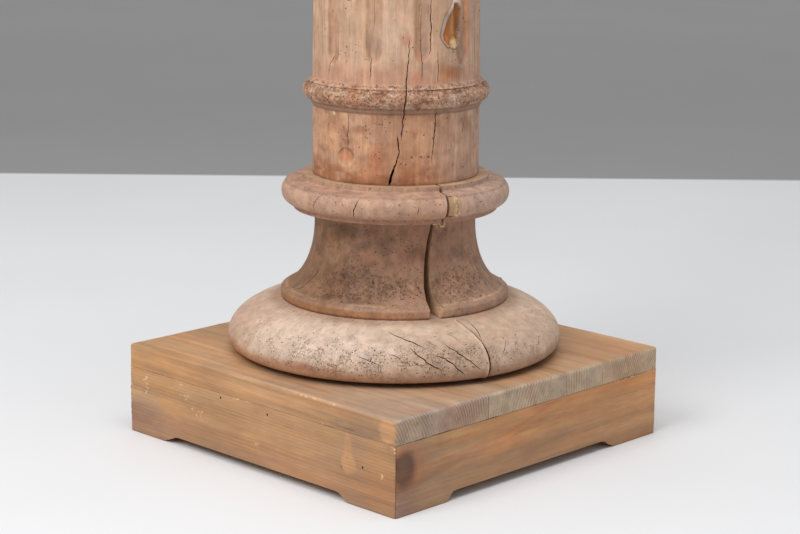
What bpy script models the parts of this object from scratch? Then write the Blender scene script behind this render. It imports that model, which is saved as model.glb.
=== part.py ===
"""A large floor candlestick made of wood: a fluted column on an Attic base, standing on a square
plinth of newer pine. Metres, +Z up. The origin is on the floor under the middle of the plinth.

-Y is the plinth's front. Each sub-part is one object, named for what it is. Pieces that touch keep
a gap between them, and each screw, dowel or pin sits in a hole with the same gap all round.
"""

import math

import bmesh
import bpy
from mathutils import Matrix, Vector

# ---- driving dimensions ------------------------------------------------------------------------

GAP = 0.0003

PLINTH_WIDTH = 0.440
PLINTH_HEIGHT = 0.106
BOARD_THICKNESS = 0.027
CORNER_ROUND = 0.005
TOP_ROUND = 0.003
TOP_SEAMS = (-0.078, 0.053, 0.117)

# Foot cut-outs, left to right along each side as seen from outside: where the first foot ends at
# the floor, where its slope reaches the top of the cut-out, and the same for the second foot.
FOOT_CUTS = {
    "front": (-0.160, -0.137, 0.135, 0.150, 0.009),
    "right": (-0.143, -0.132, 0.125, 0.142, 0.0105),
    "back": (-0.152, -0.134, 0.134, 0.152, 0.0095),
    "left": (-0.150, -0.134, 0.136, 0.156, 0.0095),
}

CORNERS = ((-1, -1), (1, -1), (1, 1), (-1, 1))
BLOCK_WIDTH = 0.040
BLOCK_BOTTOM = 0.015
RAIL_WIDTH = 0.025
BATTEN_WIDTH = 0.070
BATTEN_THICKNESS = 0.022
BATTEN_X = 0.092

BASE_BOTTOM = PLINTH_HEIGHT + GAP
TORUS_TOP = 0.168
TORUS_WIDEST_Z = 0.123
TORUS_WIDEST = 0.194
TORUS_CORE = 0.105
TORUS_RISE = 0.047
SCOTIA_BOTTOM = TORUS_TOP + GAP
SCOTIA_TOP = 0.3125
FLANGE_RADIUS = 0.1325
FLANGE_TOP = 0.1795
SCOTIA_CENTRE = (0.136, 0.257)
SCOTIA_SIZE = (0.043, 0.0775)
UPPER_TORUS_Z = 0.292
UPPER_TORUS_RADIUS = 0.1315
FILLET_2 = 0.118
FILLET_1 = 0.1075

SPIGOT_RADIUS = 0.030
DRUM_BOTTOM = SCOTIA_TOP + GAP
DRUM_RADIUS = 0.0955
RING_BOTTOM = 0.392
BEAD_Z = 0.408
BEAD_RADIUS = 0.107
RING_TOP = 0.4245
SHAFT_FOOT_RADIUS = 0.0958
TAPER = 0.015

FLUTE_COUNT = 11
FLUTE_WIDTH = 0.019
FLUTE_DEPTH = 0.0055
FLUTE_FOOT = 0.452
FLUTE_HEAD = 1.300
FIRST_FLUTE = math.radians(-60.8)

ASTRAGAL_BOTTOM = 1.318
ASTRAGAL_TOP = 1.344
ASTRAGAL_RADIUS = 0.092
SHAFT_TOP = 1.380
CAPITAL_BOTTOM = SHAFT_TOP + GAP
CAPITAL_TOP = 1.462
CAPITAL_RADIUS = 0.124
PLATE_BOTTOM = CAPITAL_TOP + GAP
PLATE_TOP = 1.500
PLATE_RADIUS = 0.140
PAN_BOTTOM = PLATE_TOP + GAP
PAN_RADIUS = 0.131
PAN_HEIGHT = 0.020
PAN_SHEET = 0.0015
PAN_HOLE = 0.009
SPIKE_RADIUS = 0.006
SPIKE_TIP = 1.600

# The drying split of the scotia ring, as angles about +Z.
SPLIT_ANGLE = math.radians(-23.6)
SPLIT_DEPTH = (0.026, 0.150)

RING_STEPS = 44
SHAFT_STEPS = 4 * FLUTE_COUNT
SMALL_STEPS = 10

# ---- scene, collections, materials -------------------------------------------------------------

for old in list(bpy.data.objects):
    bpy.data.objects.remove(old, do_unlink=True)


def new_collection(name):
    collection = bpy.data.collections.new(name)
    bpy.context.scene.collection.children.link(collection)
    return collection


PARTS = new_collection("candlestick")
CUTTERS = new_collection("candlestick_cutters")


def new_material(name, colour, roughness, metallic=0.0):
    material = bpy.data.materials.new(name)
    material.use_nodes = True
    shader = material.node_tree.nodes["Principled BSDF"]
    shader.inputs["Base Color"].default_value = (*colour, 1.0)
    shader.inputs["Roughness"].default_value = roughness
    shader.inputs["Metallic"].default_value = metallic
    material.diffuse_color = (*colour, 1.0)
    return material


TURNED_WOOD = new_material("turned_wood", (0.52, 0.37, 0.27), 0.75)
PLINTH_WOOD = new_material("plinth_wood", (0.43, 0.27, 0.15), 0.60)
FILLER_WOOD = new_material("filler_wood", (0.62, 0.47, 0.25), 0.70)
STEEL = new_material("steel", (0.48, 0.47, 0.45), 0.40, 1.0)
IRON = new_material("iron", (0.09, 0.08, 0.075), 0.55, 1.0)
BRASS = new_material("brass", (0.48, 0.35, 0.16), 0.42, 1.0)

# ---- making and cutting ------------------------------------------------------------------------


def add_object(name, mesh, material=None):
    """An object in the parts collection, or a cutter where it has no material."""
    thing = bpy.data.objects.new(name, mesh)
    if material:
        mesh.materials.append(material)
        PARTS.objects.link(thing)
    else:
        thing.hide_render = True
        thing.display_type = "WIRE"
        CUTTERS.objects.link(thing)
    return thing


def mesh_of(name, form, matrix=None):
    mesh = bpy.data.meshes.new(name)
    if matrix:
        bmesh.ops.transform(form, matrix=matrix, verts=form.verts)
    form.to_mesh(mesh)
    form.free()
    return mesh


def box(name, low, high, material=None):
    """An upright box between two corners, its origin at its middle."""
    low, high = Vector(low), Vector(high)
    form = bmesh.new()
    bmesh.ops.create_cube(form, size=1.0)
    thing = add_object(name, mesh_of(name, form, Matrix.Diagonal((*(high - low), 1.0))), material)
    thing.location = (low + high) / 2
    return thing


def rod(name, radius, bottom, top, at=(0.0, 0.0), sides=SMALL_STEPS, material=None):
    """An upright cylinder between two heights."""
    form = bmesh.new()
    bmesh.ops.create_cone(
        form, cap_ends=True, segments=sides, radius1=radius, radius2=radius, depth=top - bottom
    )
    thing = add_object(name, mesh_of(name, form), material)
    thing.location = (*at, (bottom + top) / 2)
    return thing


def turned(name, profile, steps, material=None, ring=False):
    """A profile of (radius, height) points turned about +Z. It runs from the top down the outer
    side; a ring's profile is a loop that comes back up its bore."""
    count = len(profile)
    edges = [(i, i + 1) for i in range(count - 1)]
    if ring:
        edges.append((count - 1, 0))
    mesh = bpy.data.meshes.new(name)
    mesh.from_pydata([(radius, 0.0, height) for radius, height in profile], edges, [])
    thing = add_object(name, mesh, material)
    screw = thing.modifiers.new("turn", "SCREW")
    screw.axis = "Z"
    screw.steps = steps
    screw.render_steps = steps
    screw.use_merge_vertices = True
    screw.merge_threshold = 0.00005
    screw.use_smooth_shade = True
    return thing


def boolean(thing, cutter, operation="DIFFERENCE"):
    modifier = thing.modifiers.new(cutter.name, "BOOLEAN")
    modifier.operation = operation
    modifier.object = cutter


def outline_plate(name, outline, thickness, material):
    """A flat outline in X and Z filled to a plate, whose thickness is centred on Y = 0."""
    curve = bpy.data.curves.new(name, "CURVE")
    curve.dimensions = "2D"
    curve.fill_mode = "BOTH"
    curve.extrude = thickness / 2
    spline = curve.splines.new("POLY")
    spline.points.add(len(outline) - 1)
    for point, (x, z) in zip(spline.points, outline):
        point.co = (x, z, 0.0, 1.0)
    spline.use_cyclic_u = True
    flat = bpy.data.objects.new(name + "_outline", curve)
    flat.rotation_euler = (math.pi / 2, 0.0, 0.0)
    CUTTERS.objects.link(flat)
    bpy.context.view_layer.update()
    graph = bpy.context.evaluated_depsgraph_get()
    mesh = bpy.data.meshes.new_from_object(flat.evaluated_get(graph))
    form = bmesh.new()
    form.from_mesh(mesh)
    bmesh.ops.remove_doubles(form, verts=form.verts, dist=0.00001)
    bmesh.ops.recalc_face_normals(form, faces=form.faces)
    form.to_mesh(mesh)
    form.free()
    mesh.name = name
    thing = add_object(name, mesh, material)
    thing.matrix_world = flat.matrix_world
    bpy.data.objects.remove(flat, do_unlink=True)
    return thing


def arc(middle_r, middle_z, size_r, size_z, start, end, count):
    """Points of an elliptical arc in a profile, with angles in degrees from outward, up positive."""
    points = []
    for i in range(count):
        angle = math.radians(start + (end - start) * i / (count - 1))
        points.append((middle_r + size_r * math.cos(angle), middle_z + size_z * math.sin(angle)))
    return points


def polar(radius, angle):
    return radius * math.cos(angle), radius * math.sin(angle)


# ---- fasteners ---------------------------------------------------------------------------------


def wood_screw(name, radius, head_z, tip_z, at, targets):
    """A countersunk screw along Z, and its clearance hole in each of the pieces it passes."""
    up = 1.0 if tip_z > head_z else -1.0
    head, cone, point = 2.0 * radius, 1.1 * radius, 2.0 * radius
    profile = [
        (0.0, tip_z),
        (radius, tip_z - up * point),
        (radius, head_z + up * cone),
        (head, head_z),
        (0.0, head_z),
    ]
    hole_profile = [
        (0.0, tip_z + up * GAP),
        (radius + GAP, tip_z - up * point),
        (radius + GAP, head_z + up * (cone + GAP)),
        (head + 2 * GAP, head_z - up * GAP),
        (0.0, head_z - up * GAP),
    ]
    if up < 0:
        profile.reverse()
        hole_profile.reverse()
    screw = turned(name, profile, SMALL_STEPS, STEEL)
    screw.location = (*at, 0.0)
    hole = turned(name + "_hole", hole_profile, SMALL_STEPS)
    hole.location = (*at, 0.0)
    for target in targets:
        boolean(target, hole)


# ---- plinth ------------------------------------------------------------------------------------

HALF = PLINTH_WIDTH / 2
SIDE_TOP = PLINTH_HEIGHT - BOARD_THICKNESS - GAP / 2
TOP_BOTTOM = PLINTH_HEIGHT - BOARD_THICKNESS + GAP / 2
INNER = HALF - BOARD_THICKNESS
OVERSIZE = 0.004


def plinth_envelope():
    """The outer form that all the plinth's boards are planed to, with its worn corners."""
    envelope = box("plinth_envelope", (-HALF, -HALF, -OVERSIZE), (HALF, HALF, PLINTH_HEIGHT))
    form = bmesh.new()
    form.from_mesh(envelope.data)
    middle = PLINTH_HEIGHT / 2
    upright = [e for e in form.edges if abs(e.verts[0].co.z - e.verts[1].co.z) > middle]
    bmesh.ops.bevel(form, geom=upright, offset=CORNER_ROUND, segments=3, affect="EDGES", profile=0.5)
    rim = [e for e in form.edges if min(v.co.z for v in e.verts) > middle]
    bmesh.ops.bevel(form, geom=rim, offset=TOP_ROUND, segments=2, affect="EDGES", profile=0.5)
    form.to_mesh(envelope.data)
    form.free()
    return envelope


def mitre_cutter(name, side):
    """Takes a side board's end off at 45 degrees: side -1 is its left end, 1 its right end."""
    half = 0.060
    cutter = box(name, (-half,) * 3, (half,) * 3)
    normal = Vector((side, 1.0, 0.0)).normalized()
    cutter.rotation_euler = (0.0, 0.0, math.radians(45))
    cutter.location = Vector((side * HALF, -HALF, SIDE_TOP / 2)) + normal * (half - GAP / 2)
    return cutter


def side_board(name, turn, cut, envelope):
    """A mitred side, made at the front and turned about +Z to its place."""
    foot_out, foot_in, next_in, next_out, rise = cut
    reach = HALF + OVERSIZE
    outline = [
        (-reach, 0.0),
        (foot_out, 0.0),
        ((foot_out + foot_in) / 2, rise * 0.36),
        (foot_in, rise * 0.92),
        (foot_in + 0.006, rise),
        (next_in - 0.006, rise),
        (next_in, rise * 0.92),
        ((next_in + next_out) / 2, rise * 0.36),
        (next_out, 0.0),
        (reach, 0.0),
        (reach, SIDE_TOP),
        (-reach, SIDE_TOP),
    ]
    thickness = BOARD_THICKNESS + OVERSIZE
    board = outline_plate(name, outline, thickness, PLINTH_WOOD)
    place = Matrix.Translation((0.0, -INNER - thickness / 2, 0.0))
    board.data.transform(place @ board.matrix_world)
    board.matrix_world = Matrix.Identity(4)
    for end, side in (("left", -1), ("right", 1)):
        cutter = mitre_cutter(f"{name}_mitre_{end}", side)
        cutter.matrix_world = Matrix.Rotation(turn, 4, "Z") @ cutter.matrix_basis
        boolean(board, cutter)
    board.rotation_euler = (0.0, 0.0, turn)
    boolean(board, envelope, "INTERSECT")
    return board


envelope = plinth_envelope()

sides = {
    where: side_board(f"plinth_side_{where}", math.radians(90 * i), FOOT_CUTS[where], envelope)
    for i, where in enumerate(FOOT_CUTS)
}

seams = (-HALF - OVERSIZE, *TOP_SEAMS, HALF + OVERSIZE)
top_boards = []
for i, (start, end) in enumerate(zip(seams, seams[1:])):
    board = box(
        f"plinth_top_board_{i + 1}",
        (-HALF - OVERSIZE, start + GAP / 2, TOP_BOTTOM),
        (HALF + OVERSIZE, end - GAP / 2, PLINTH_HEIGHT + OVERSIZE),
        PLINTH_WOOD,
    )
    boolean(board, envelope, "INTERSECT")
    top_boards.append(board)

UNDER_TOP = TOP_BOTTOM - GAP
BLOCK_OUT = INNER - GAP
BLOCK_IN = BLOCK_OUT - BLOCK_WIDTH
corner_blocks = []
for i, (sign_x, sign_y) in enumerate(CORNERS):
    xs = sorted((sign_x * BLOCK_IN, sign_x * BLOCK_OUT))
    ys = sorted((sign_y * BLOCK_IN, sign_y * BLOCK_OUT))
    block = box(
        f"corner_block_{i + 1}", (xs[0], ys[0], BLOCK_BOTTOM), (xs[1], ys[1], UNDER_TOP), PLINTH_WOOD
    )
    corner_blocks.append(block)

RAIL_IN = BLOCK_OUT - RAIL_WIDTH
RAIL_BOTTOM = UNDER_TOP - RAIL_WIDTH
RAIL_REACH = BLOCK_IN - GAP
rails = {}
for i, where in enumerate(FOOT_CUTS):
    rail = box(
        f"plinth_rail_{where}",
        (-RAIL_REACH, -BLOCK_OUT, RAIL_BOTTOM),
        (RAIL_REACH, -RAIL_IN, UNDER_TOP),
        PLINTH_WOOD,
    )
    rail.matrix_world = Matrix.Rotation(math.radians(90 * i), 4, "Z") @ rail.matrix_basis
    rails[where] = rail

BATTEN_BOTTOM = UNDER_TOP - BATTEN_THICKNESS
battens = []
for i, side in enumerate((-1, 1)):
    batten = box(
        f"top_batten_{i + 1}",
        (side * BATTEN_X - BATTEN_WIDTH / 2, -RAIL_IN + GAP, BATTEN_BOTTOM),
        (side * BATTEN_X + BATTEN_WIDTH / 2, RAIL_IN - GAP, UNDER_TOP),
        PLINTH_WOOD,
    )
    battens.append(batten)

# ---- base rings --------------------------------------------------------------------------------

BORE = SPIGOT_RADIUS + GAP


def torus_ring():
    """The wide lower torus: a flat foot, a full round edge and a rising back."""
    top_angle = math.degrees(math.asin((TORUS_TOP - TORUS_WIDEST_Z) / TORUS_RISE))
    drop = TORUS_WIDEST_Z - BASE_BOTTOM
    back = arc(TORUS_CORE, TORUS_WIDEST_Z, TORUS_WIDEST - TORUS_CORE, TORUS_RISE, top_angle, 0, 8)
    foot = arc(TORUS_WIDEST - 0.014, TORUS_WIDEST_Z, 0.014, drop, 0, -90, 4)
    profile = [(BORE, TORUS_TOP), *back, *foot[1:], (BORE, BASE_BOTTOM)]
    return turned("base_torus_ring", profile, RING_STEPS, TURNED_WOOD, ring=True)


def scotia_ring():
    """Fillet, upper torus, fillet, deep hollow and flange, turned as one ring."""
    upper = arc(UPPER_TORUS_RADIUS - 0.0115, UPPER_TORUS_Z, 0.0115, 0.0135, 78, -72, 6)
    hollow = arc(*SCOTIA_CENTRE, -SCOTIA_SIZE[0], SCOTIA_SIZE[1], 10, -78, 8)
    profile = [
        (BORE, SCOTIA_TOP),
        (FILLET_1, SCOTIA_TOP),
        (FILLET_1, 0.3065),
        *upper,
        (FILLET_2, 0.2785),
        (FILLET_2, 0.2725),
        (hollow[0][0], 0.2720),
        *hollow,
        (FLANGE_RADIUS - 0.0015, FLANGE_TOP),
        (FLANGE_RADIUS, FLANGE_TOP - 0.0020),
        (FLANGE_RADIUS, SCOTIA_BOTTOM + 0.0015),
        (FLANGE_RADIUS - 0.0015, SCOTIA_BOTTOM),
        (BORE, SCOTIA_BOTTOM),
    ]
    return turned("base_scotia_ring", profile, RING_STEPS, TURNED_WOOD, ring=True)


def radial_cutter(name, outline, near, far, material=None):
    """An outline of (sideways, height) points, carried outwards along the split's angle."""
    plate = outline_plate(name, outline, far - near, material)
    outward = Matrix.Translation((0.0, -(near + far) / 2, 0.0)) @ plate.matrix_world
    turn = Matrix.Rotation(SPLIT_ANGLE + math.pi / 2, 4, "Z")
    plate.data.transform(turn @ outward)
    plate.matrix_world = Matrix.Identity(4)
    return plate


torus = torus_ring()
scotia = scotia_ring()

# The split leans to the right as it rises, and is widest at the flange.
SPLIT_OUTLINE = [
    (-0.0115, SCOTIA_BOTTOM - 0.002),
    (0.0023, SCOTIA_BOTTOM - 0.002),
    (0.0019, 0.200),
    (0.0034, 0.225),
    (0.0065, 0.250),
    (0.0105, 0.276),
    (0.0125, SCOTIA_TOP + 0.002),
    (0.0095, SCOTIA_TOP + 0.002),
    (0.0080, 0.276),
    (0.0016, 0.250),
    (-0.0034, 0.225),
    (-0.0075, 0.200),
]
NOTCH = (0.0110, 0.0255, 0.281, 0.3040)
NOTCH_DEPTH = (0.112, 0.150)
FILLER_OUT = 0.1270
boolean(scotia, radial_cutter("split_cutter", SPLIT_OUTLINE, *SPLIT_DEPTH))


def upright_rectangle(left, right, bottom, top, inset=0.0):
    return [
        (left + inset, bottom + inset),
        (right - inset, bottom + inset),
        (right - inset, top - inset),
        (left + inset, top - inset),
    ]


boolean(scotia, radial_cutter("filler_notch", upright_rectangle(*NOTCH), *NOTCH_DEPTH))
radial_cutter(
    "split_filler",
    upright_rectangle(NOTCH[0] + 0.0015, *NOTCH[1:], inset=GAP),
    NOTCH_DEPTH[0] + GAP,
    FILLER_OUT,
    FILLER_WOOD,
)

DOWEL_RADIUS = 0.005
DOWEL_CIRCLE = 0.070
DOWEL_REACH = 0.025
for i in range(3):
    at = polar(DOWEL_CIRCLE, math.radians(30 + 120 * i))
    low, high = TORUS_TOP - DOWEL_REACH, TORUS_TOP + DOWEL_REACH
    rod(f"base_dowel_{i + 1}", DOWEL_RADIUS, low, high, at, material=TURNED_WOOD)
    hole = rod(f"base_dowel_{i + 1}_hole", DOWEL_RADIUS + GAP, low - GAP, high + GAP, at)
    boolean(torus, hole)
    boolean(scotia, hole)

# ---- shaft -------------------------------------------------------------------------------------


def shaft_radius(height):
    return SHAFT_FOOT_RADIUS - TAPER * (height - RING_TOP)


def fluted_shaft():
    """One log: upper spigot, necking, astragal, tapering shaft, ring, drum and lower spigot."""
    bead = arc(BEAD_RADIUS - 0.0095, BEAD_Z, 0.0095, 0.0095, 78, -78, 6)
    astragal_z = (ASTRAGAL_BOTTOM + ASTRAGAL_TOP) / 2
    astragal = arc(ASTRAGAL_RADIUS - 0.009, astragal_z, 0.009, 0.009, 80, -80, 5)
    profile = [
        (0.0, CAPITAL_TOP),
        (SPIGOT_RADIUS, CAPITAL_TOP),
        (SPIGOT_RADIUS, SHAFT_TOP),
        (shaft_radius(SHAFT_TOP), SHAFT_TOP),
        (shaft_radius(ASTRAGAL_TOP), ASTRAGAL_TOP),
        *astragal,
        (shaft_radius(ASTRAGAL_BOTTOM) + 0.003, ASTRAGAL_BOTTOM),
        (shaft_radius(ASTRAGAL_BOTTOM) + 0.003, ASTRAGAL_BOTTOM - 0.005),
        (shaft_radius(ASTRAGAL_BOTTOM), ASTRAGAL_BOTTOM - 0.008),
        (SHAFT_FOOT_RADIUS, RING_TOP),
        (0.1010, 0.4195),
        (0.0985, 0.4180),
        *bead,
        (0.1000, 0.3975),
        (0.0985, RING_BOTTOM),
        (DRUM_RADIUS, RING_BOTTOM),
        (DRUM_RADIUS, DRUM_BOTTOM),
        (SPIGOT_RADIUS, DRUM_BOTTOM),
        (SPIGOT_RADIUS, BASE_BOTTOM),
        (0.0, BASE_BOTTOM),
    ]
    return turned("fluted_shaft", profile, SHAFT_STEPS, TURNED_WOOD)


def capsule_profile(radius, bottom, top, count):
    """Half the outline of a rod with round ends, from the top down."""
    upper = arc(0.0, top - radius, radius, radius, 90, 0, count)
    lower = arc(0.0, bottom + radius, radius, radius, 0, -90, count)
    return [(max(r, 0.0), z) for r, z in upper + lower]


def cut_flutes(shaft):
    """Round-ended hollows down the shaft, leaning with its taper."""
    half = FLUTE_WIDTH / 2
    radius = (half * half + FLUTE_DEPTH * FLUTE_DEPTH) / (2 * FLUTE_DEPTH)
    middle = (FLUTE_FOOT + FLUTE_HEAD) / 2
    reach = (FLUTE_HEAD - FLUTE_FOOT) / 2
    out = shaft_radius(middle) + radius - FLUTE_DEPTH
    for i in range(FLUTE_COUNT):
        flute = turned(f"flute_{i + 1}", capsule_profile(radius, -reach, reach, 3), SMALL_STEPS + 2)
        angle = FIRST_FLUTE + 2 * math.pi * i / FLUTE_COUNT
        lean = Matrix.Rotation(-math.atan(TAPER), 4, "Y")
        place = Matrix.Translation((out, 0.0, middle))
        flute.matrix_world = Matrix.Rotation(angle, 4, "Z") @ place @ lean
        boolean(shaft, flute)


shaft = fluted_shaft()
cut_flutes(shaft)

# ---- capital, plate, pricket and pan -----------------------------------------------------------

SHANK_RADIUS = 0.005
SHANK_BOTTOM = 1.412
PRICKET_HOLE = SHANK_RADIUS + GAP
COLLAR_RADIUS = 0.0085
COLLAR_TOP = PLATE_TOP + 0.003


def make_capital():
    """Turned capital: square-edged top, quarter-round and fillet, bored for the spigot."""
    band_bottom = CAPITAL_TOP - 0.030
    echinus = arc(0.090, band_bottom - 0.004, 0.028, 0.034, 0, -90, 6)
    profile = [
        (BORE, CAPITAL_TOP),
        (CAPITAL_RADIUS - 0.002, CAPITAL_TOP),
        (CAPITAL_RADIUS, CAPITAL_TOP - 0.002),
        (CAPITAL_RADIUS, band_bottom),
        (0.118, band_bottom),
        *echinus,
        (0.086, echinus[-1][1]),
        (0.086, CAPITAL_BOTTOM),
        (BORE, CAPITAL_BOTTOM),
    ]
    return turned("capital", profile, RING_STEPS, TURNED_WOOD, ring=True)


def make_plate():
    """Turned plate on the capital: a rounded rim over a hollow moulding, bored for the pricket."""
    rim = arc(PLATE_RADIUS - 0.008, PLATE_TOP - 0.008, 0.008, 0.008, 90, -90, 5)
    hollow = arc(0.128, PLATE_BOTTOM + 0.004, -0.028, 0.014, -80, 0, 4)
    hollow = [(r, 2 * (PLATE_BOTTOM + 0.004) - z) for r, z in hollow]
    profile = [
        (PRICKET_HOLE, PLATE_TOP),
        *rim,
        (0.128, PLATE_TOP - 0.0175),
        *hollow,
        (0.100, PLATE_BOTTOM),
        (PRICKET_HOLE, PLATE_BOTTOM),
    ]
    return turned("candle_plate", profile, RING_STEPS, TURNED_WOOD, ring=True)


def make_pricket():
    """Iron spike with a collar that stands on the plate, and a shank driven into the shaft."""
    profile = [
        (0.0, SPIKE_TIP),
        (0.0012, SPIKE_TIP - 0.004),
        (SPIKE_RADIUS, COLLAR_TOP + 0.020),
        (SPIKE_RADIUS, COLLAR_TOP + 0.002),
        (COLLAR_RADIUS - GAP, COLLAR_TOP),
        (COLLAR_RADIUS - GAP, PLATE_TOP + GAP),
        (SHANK_RADIUS, PLATE_TOP + GAP),
        (SHANK_RADIUS, SHANK_BOTTOM + 0.020),
        (0.0, SHANK_BOTTOM),
    ]
    return turned("pricket", profile, SMALL_STEPS, IRON)


def make_drip_pan():
    """Loose sheet pan with a hole for the pricket, a coved wall and a rolled lip."""
    floor_top = PAN_BOTTOM + PAN_SHEET
    cove_r, cove_z, cove_size = PAN_RADIUS - 0.020, PAN_BOTTOM + 0.014, 0.014
    cove = arc(cove_r, cove_z, cove_size, cove_size, -90, -14, 4)
    inner = arc(cove_r, cove_z, cove_size - PAN_SHEET, cove_size - PAN_SHEET, -90, -14, 4)
    lip_r, lip_z = PAN_RADIUS - 0.0025, PAN_BOTTOM + PAN_HEIGHT - 0.0025
    lip = arc(lip_r, lip_z, 0.0025, 0.0025, 150, -100, 5)
    profile = [*lip, *reversed(cove), (PAN_HOLE, PAN_BOTTOM), (PAN_HOLE, floor_top), *inner]
    return turned("drip_pan", profile, RING_STEPS, BRASS, ring=True)


capital = make_capital()
plate = make_plate()
make_pricket()
make_drip_pan()
rod_hole = turned(
    "pricket_hole",
    [
        (0.0, CAPITAL_TOP + 0.004),
        (PRICKET_HOLE, CAPITAL_TOP + 0.004),
        (PRICKET_HOLE, SHANK_BOTTOM + 0.020),
        (0.0, SHANK_BOTTOM - GAP),
    ],
    SMALL_STEPS,
)
boolean(shaft, rod_hole)

# ---- screws, washer and pins -------------------------------------------------------------------

for i, (sign_x, sign_y) in enumerate(CORNERS):
    batten = battens[0] if sign_x < 0 else battens[1]
    board = top_boards[0] if sign_y < 0 else top_boards[2]
    wood_screw(
        f"torus_screw_{i + 1}",
        0.003,
        BATTEN_BOTTOM,
        BASE_BOTTOM + 0.040,
        (sign_x * BATTEN_X, sign_y * BATTEN_X),
        (batten, board, torus),
    )

for i in range(3):
    wood_screw(
        f"plate_screw_{i + 1}",
        0.0025,
        PLATE_TOP,
        CAPITAL_TOP - 0.022,
        polar(0.066, math.radians(90 + 120 * i)),
        (plate, capital),
    )

for batten, side in zip(battens, (-1, 1)):
    for j, (board, at_y) in enumerate(((top_boards[1], 0.0), (top_boards[3], 0.142))):
        wood_screw(
            f"{batten.name}_screw_{j + 1}",
            0.002,
            BATTEN_BOTTOM,
            TOP_BOTTOM + 0.016,
            (side * BATTEN_X, at_y),
            (batten, board),
        )

WASHER_WIDTH = 0.060
WASHER_THICKNESS = 0.004
COACH_RADIUS = 0.005
COACH_TIP = 0.168
HEAD_RADIUS = 0.0098
HEAD_HEIGHT = 0.007


def coach_screw():
    """Hexagon head, washer plate, and the thick screw that draws the shaft down on its plinth."""
    washer_bottom = UNDER_TOP - WASHER_THICKNESS
    half = WASHER_WIDTH / 2
    washer = box("coach_washer", (-half, -half, washer_bottom), (half, half, UNDER_TOP), STEEL)
    head_top = washer_bottom - GAP
    shank = turned(
        "coach_screw",
        [
            (0.0, COACH_TIP),
            (COACH_RADIUS, COACH_TIP - 0.012),
            (COACH_RADIUS, head_top - 0.001),
            (0.0, head_top - 0.001),
        ],
        SMALL_STEPS,
        STEEL,
    )
    head = rod("coach_screw_head", HEAD_RADIUS, head_top - HEAD_HEIGHT, head_top, sides=6)
    boolean(shank, head, "UNION")
    hole = rod("coach_screw_hole", COACH_RADIUS + GAP, head_top - 0.001, COACH_TIP + 0.001)
    for target in (washer, top_boards[1], shaft):
        boolean(target, hole)


coach_screw()

PIN_RADIUS = 0.0010
PIN_HEAD = 0.0014
PIN_LENGTH = 0.040
FRONT_PINS = ((-0.056, 0.0735), (0.022, 0.0705), (0.171, 0.045))
OTHER_PINS = ((-0.176, 0.050), (0.176, 0.050))


def side_pin(name, turn, along, height, targets):
    """A panel pin driven through a side into the rail or the corner block behind it."""
    out = HALF - 0.0006
    lying = Matrix.Rotation(turn, 4, "Z") @ Matrix.Translation((along, 0.0, height))
    lying = lying @ Matrix.Rotation(math.pi / 2, 4, "X")
    pin = turned(
        name,
        [
            (0.0, out),
            (PIN_HEAD, out),
            (PIN_HEAD, out - 0.0008),
            (PIN_RADIUS, out - 0.0016),
            (PIN_RADIUS, out - PIN_LENGTH + 0.003),
            (0.0, out - PIN_LENGTH),
        ],
        8,
        STEEL,
    )
    pin.matrix_world = lying
    hole = turned(
        name + "_hole",
        [
            (0.0, HALF + 0.010),
            (PIN_HEAD + GAP, HALF + 0.010),
            (PIN_HEAD + GAP, out - 0.0008 - GAP),
            (PIN_RADIUS + GAP, out - 0.0016 - GAP),
            (PIN_RADIUS + GAP, out - PIN_LENGTH + 0.003),
            (0.0, out - PIN_LENGTH - GAP),
        ],
        8,
    )
    hole.matrix_world = lying
    for target in targets:
        boolean(target, hole)


for i, where in enumerate(FOOT_CUTS):
    for j, (along, height) in enumerate(FRONT_PINS if where == "front" else OTHER_PINS):
        if abs(along) > RAIL_REACH:
            behind = corner_blocks[(i + (along > 0)) % 4]
        else:
            behind = rails[where]
        name = f"{where}_pin_{j + 1}"
        side_pin(name, math.radians(90 * i), along, height, (sides[where], behind))

bpy.context.view_layer.update()
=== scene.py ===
"""The looks of a large wooden floor candlestick: an old fluted column on a newer pine plinth.

Metres, +Z up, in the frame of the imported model. Places on the turned pieces are given as degrees
round the axis, counted to the right from the plinth's front corner, and heights in mm.
"""

import math
from functools import reduce

import bpy
import numpy as np
from mathutils import Matrix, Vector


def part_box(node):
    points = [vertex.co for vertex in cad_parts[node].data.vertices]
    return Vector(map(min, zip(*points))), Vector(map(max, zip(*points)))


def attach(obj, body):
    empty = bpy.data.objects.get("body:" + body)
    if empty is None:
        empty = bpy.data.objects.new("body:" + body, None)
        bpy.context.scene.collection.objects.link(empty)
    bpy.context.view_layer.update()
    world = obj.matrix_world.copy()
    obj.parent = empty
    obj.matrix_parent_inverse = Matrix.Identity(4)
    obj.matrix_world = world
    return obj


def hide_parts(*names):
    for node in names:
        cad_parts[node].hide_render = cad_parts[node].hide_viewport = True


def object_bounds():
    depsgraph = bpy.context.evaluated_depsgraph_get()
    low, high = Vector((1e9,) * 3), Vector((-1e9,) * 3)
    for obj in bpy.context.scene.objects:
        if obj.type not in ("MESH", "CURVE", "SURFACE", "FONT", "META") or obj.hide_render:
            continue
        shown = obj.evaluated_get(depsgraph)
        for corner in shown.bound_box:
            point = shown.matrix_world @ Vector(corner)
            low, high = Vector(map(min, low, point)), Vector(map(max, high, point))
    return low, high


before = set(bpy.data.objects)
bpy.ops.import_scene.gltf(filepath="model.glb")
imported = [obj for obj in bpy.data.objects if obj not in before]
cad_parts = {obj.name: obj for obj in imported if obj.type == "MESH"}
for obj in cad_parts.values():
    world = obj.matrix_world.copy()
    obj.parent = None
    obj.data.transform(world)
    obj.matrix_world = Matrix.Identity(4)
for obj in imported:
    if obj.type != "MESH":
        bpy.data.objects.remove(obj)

CAD_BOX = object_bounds()
FRONT = math.radians(-45.56)
MM = 0.001
UP = np.array([0.0, 0.0, 1.0])

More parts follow.
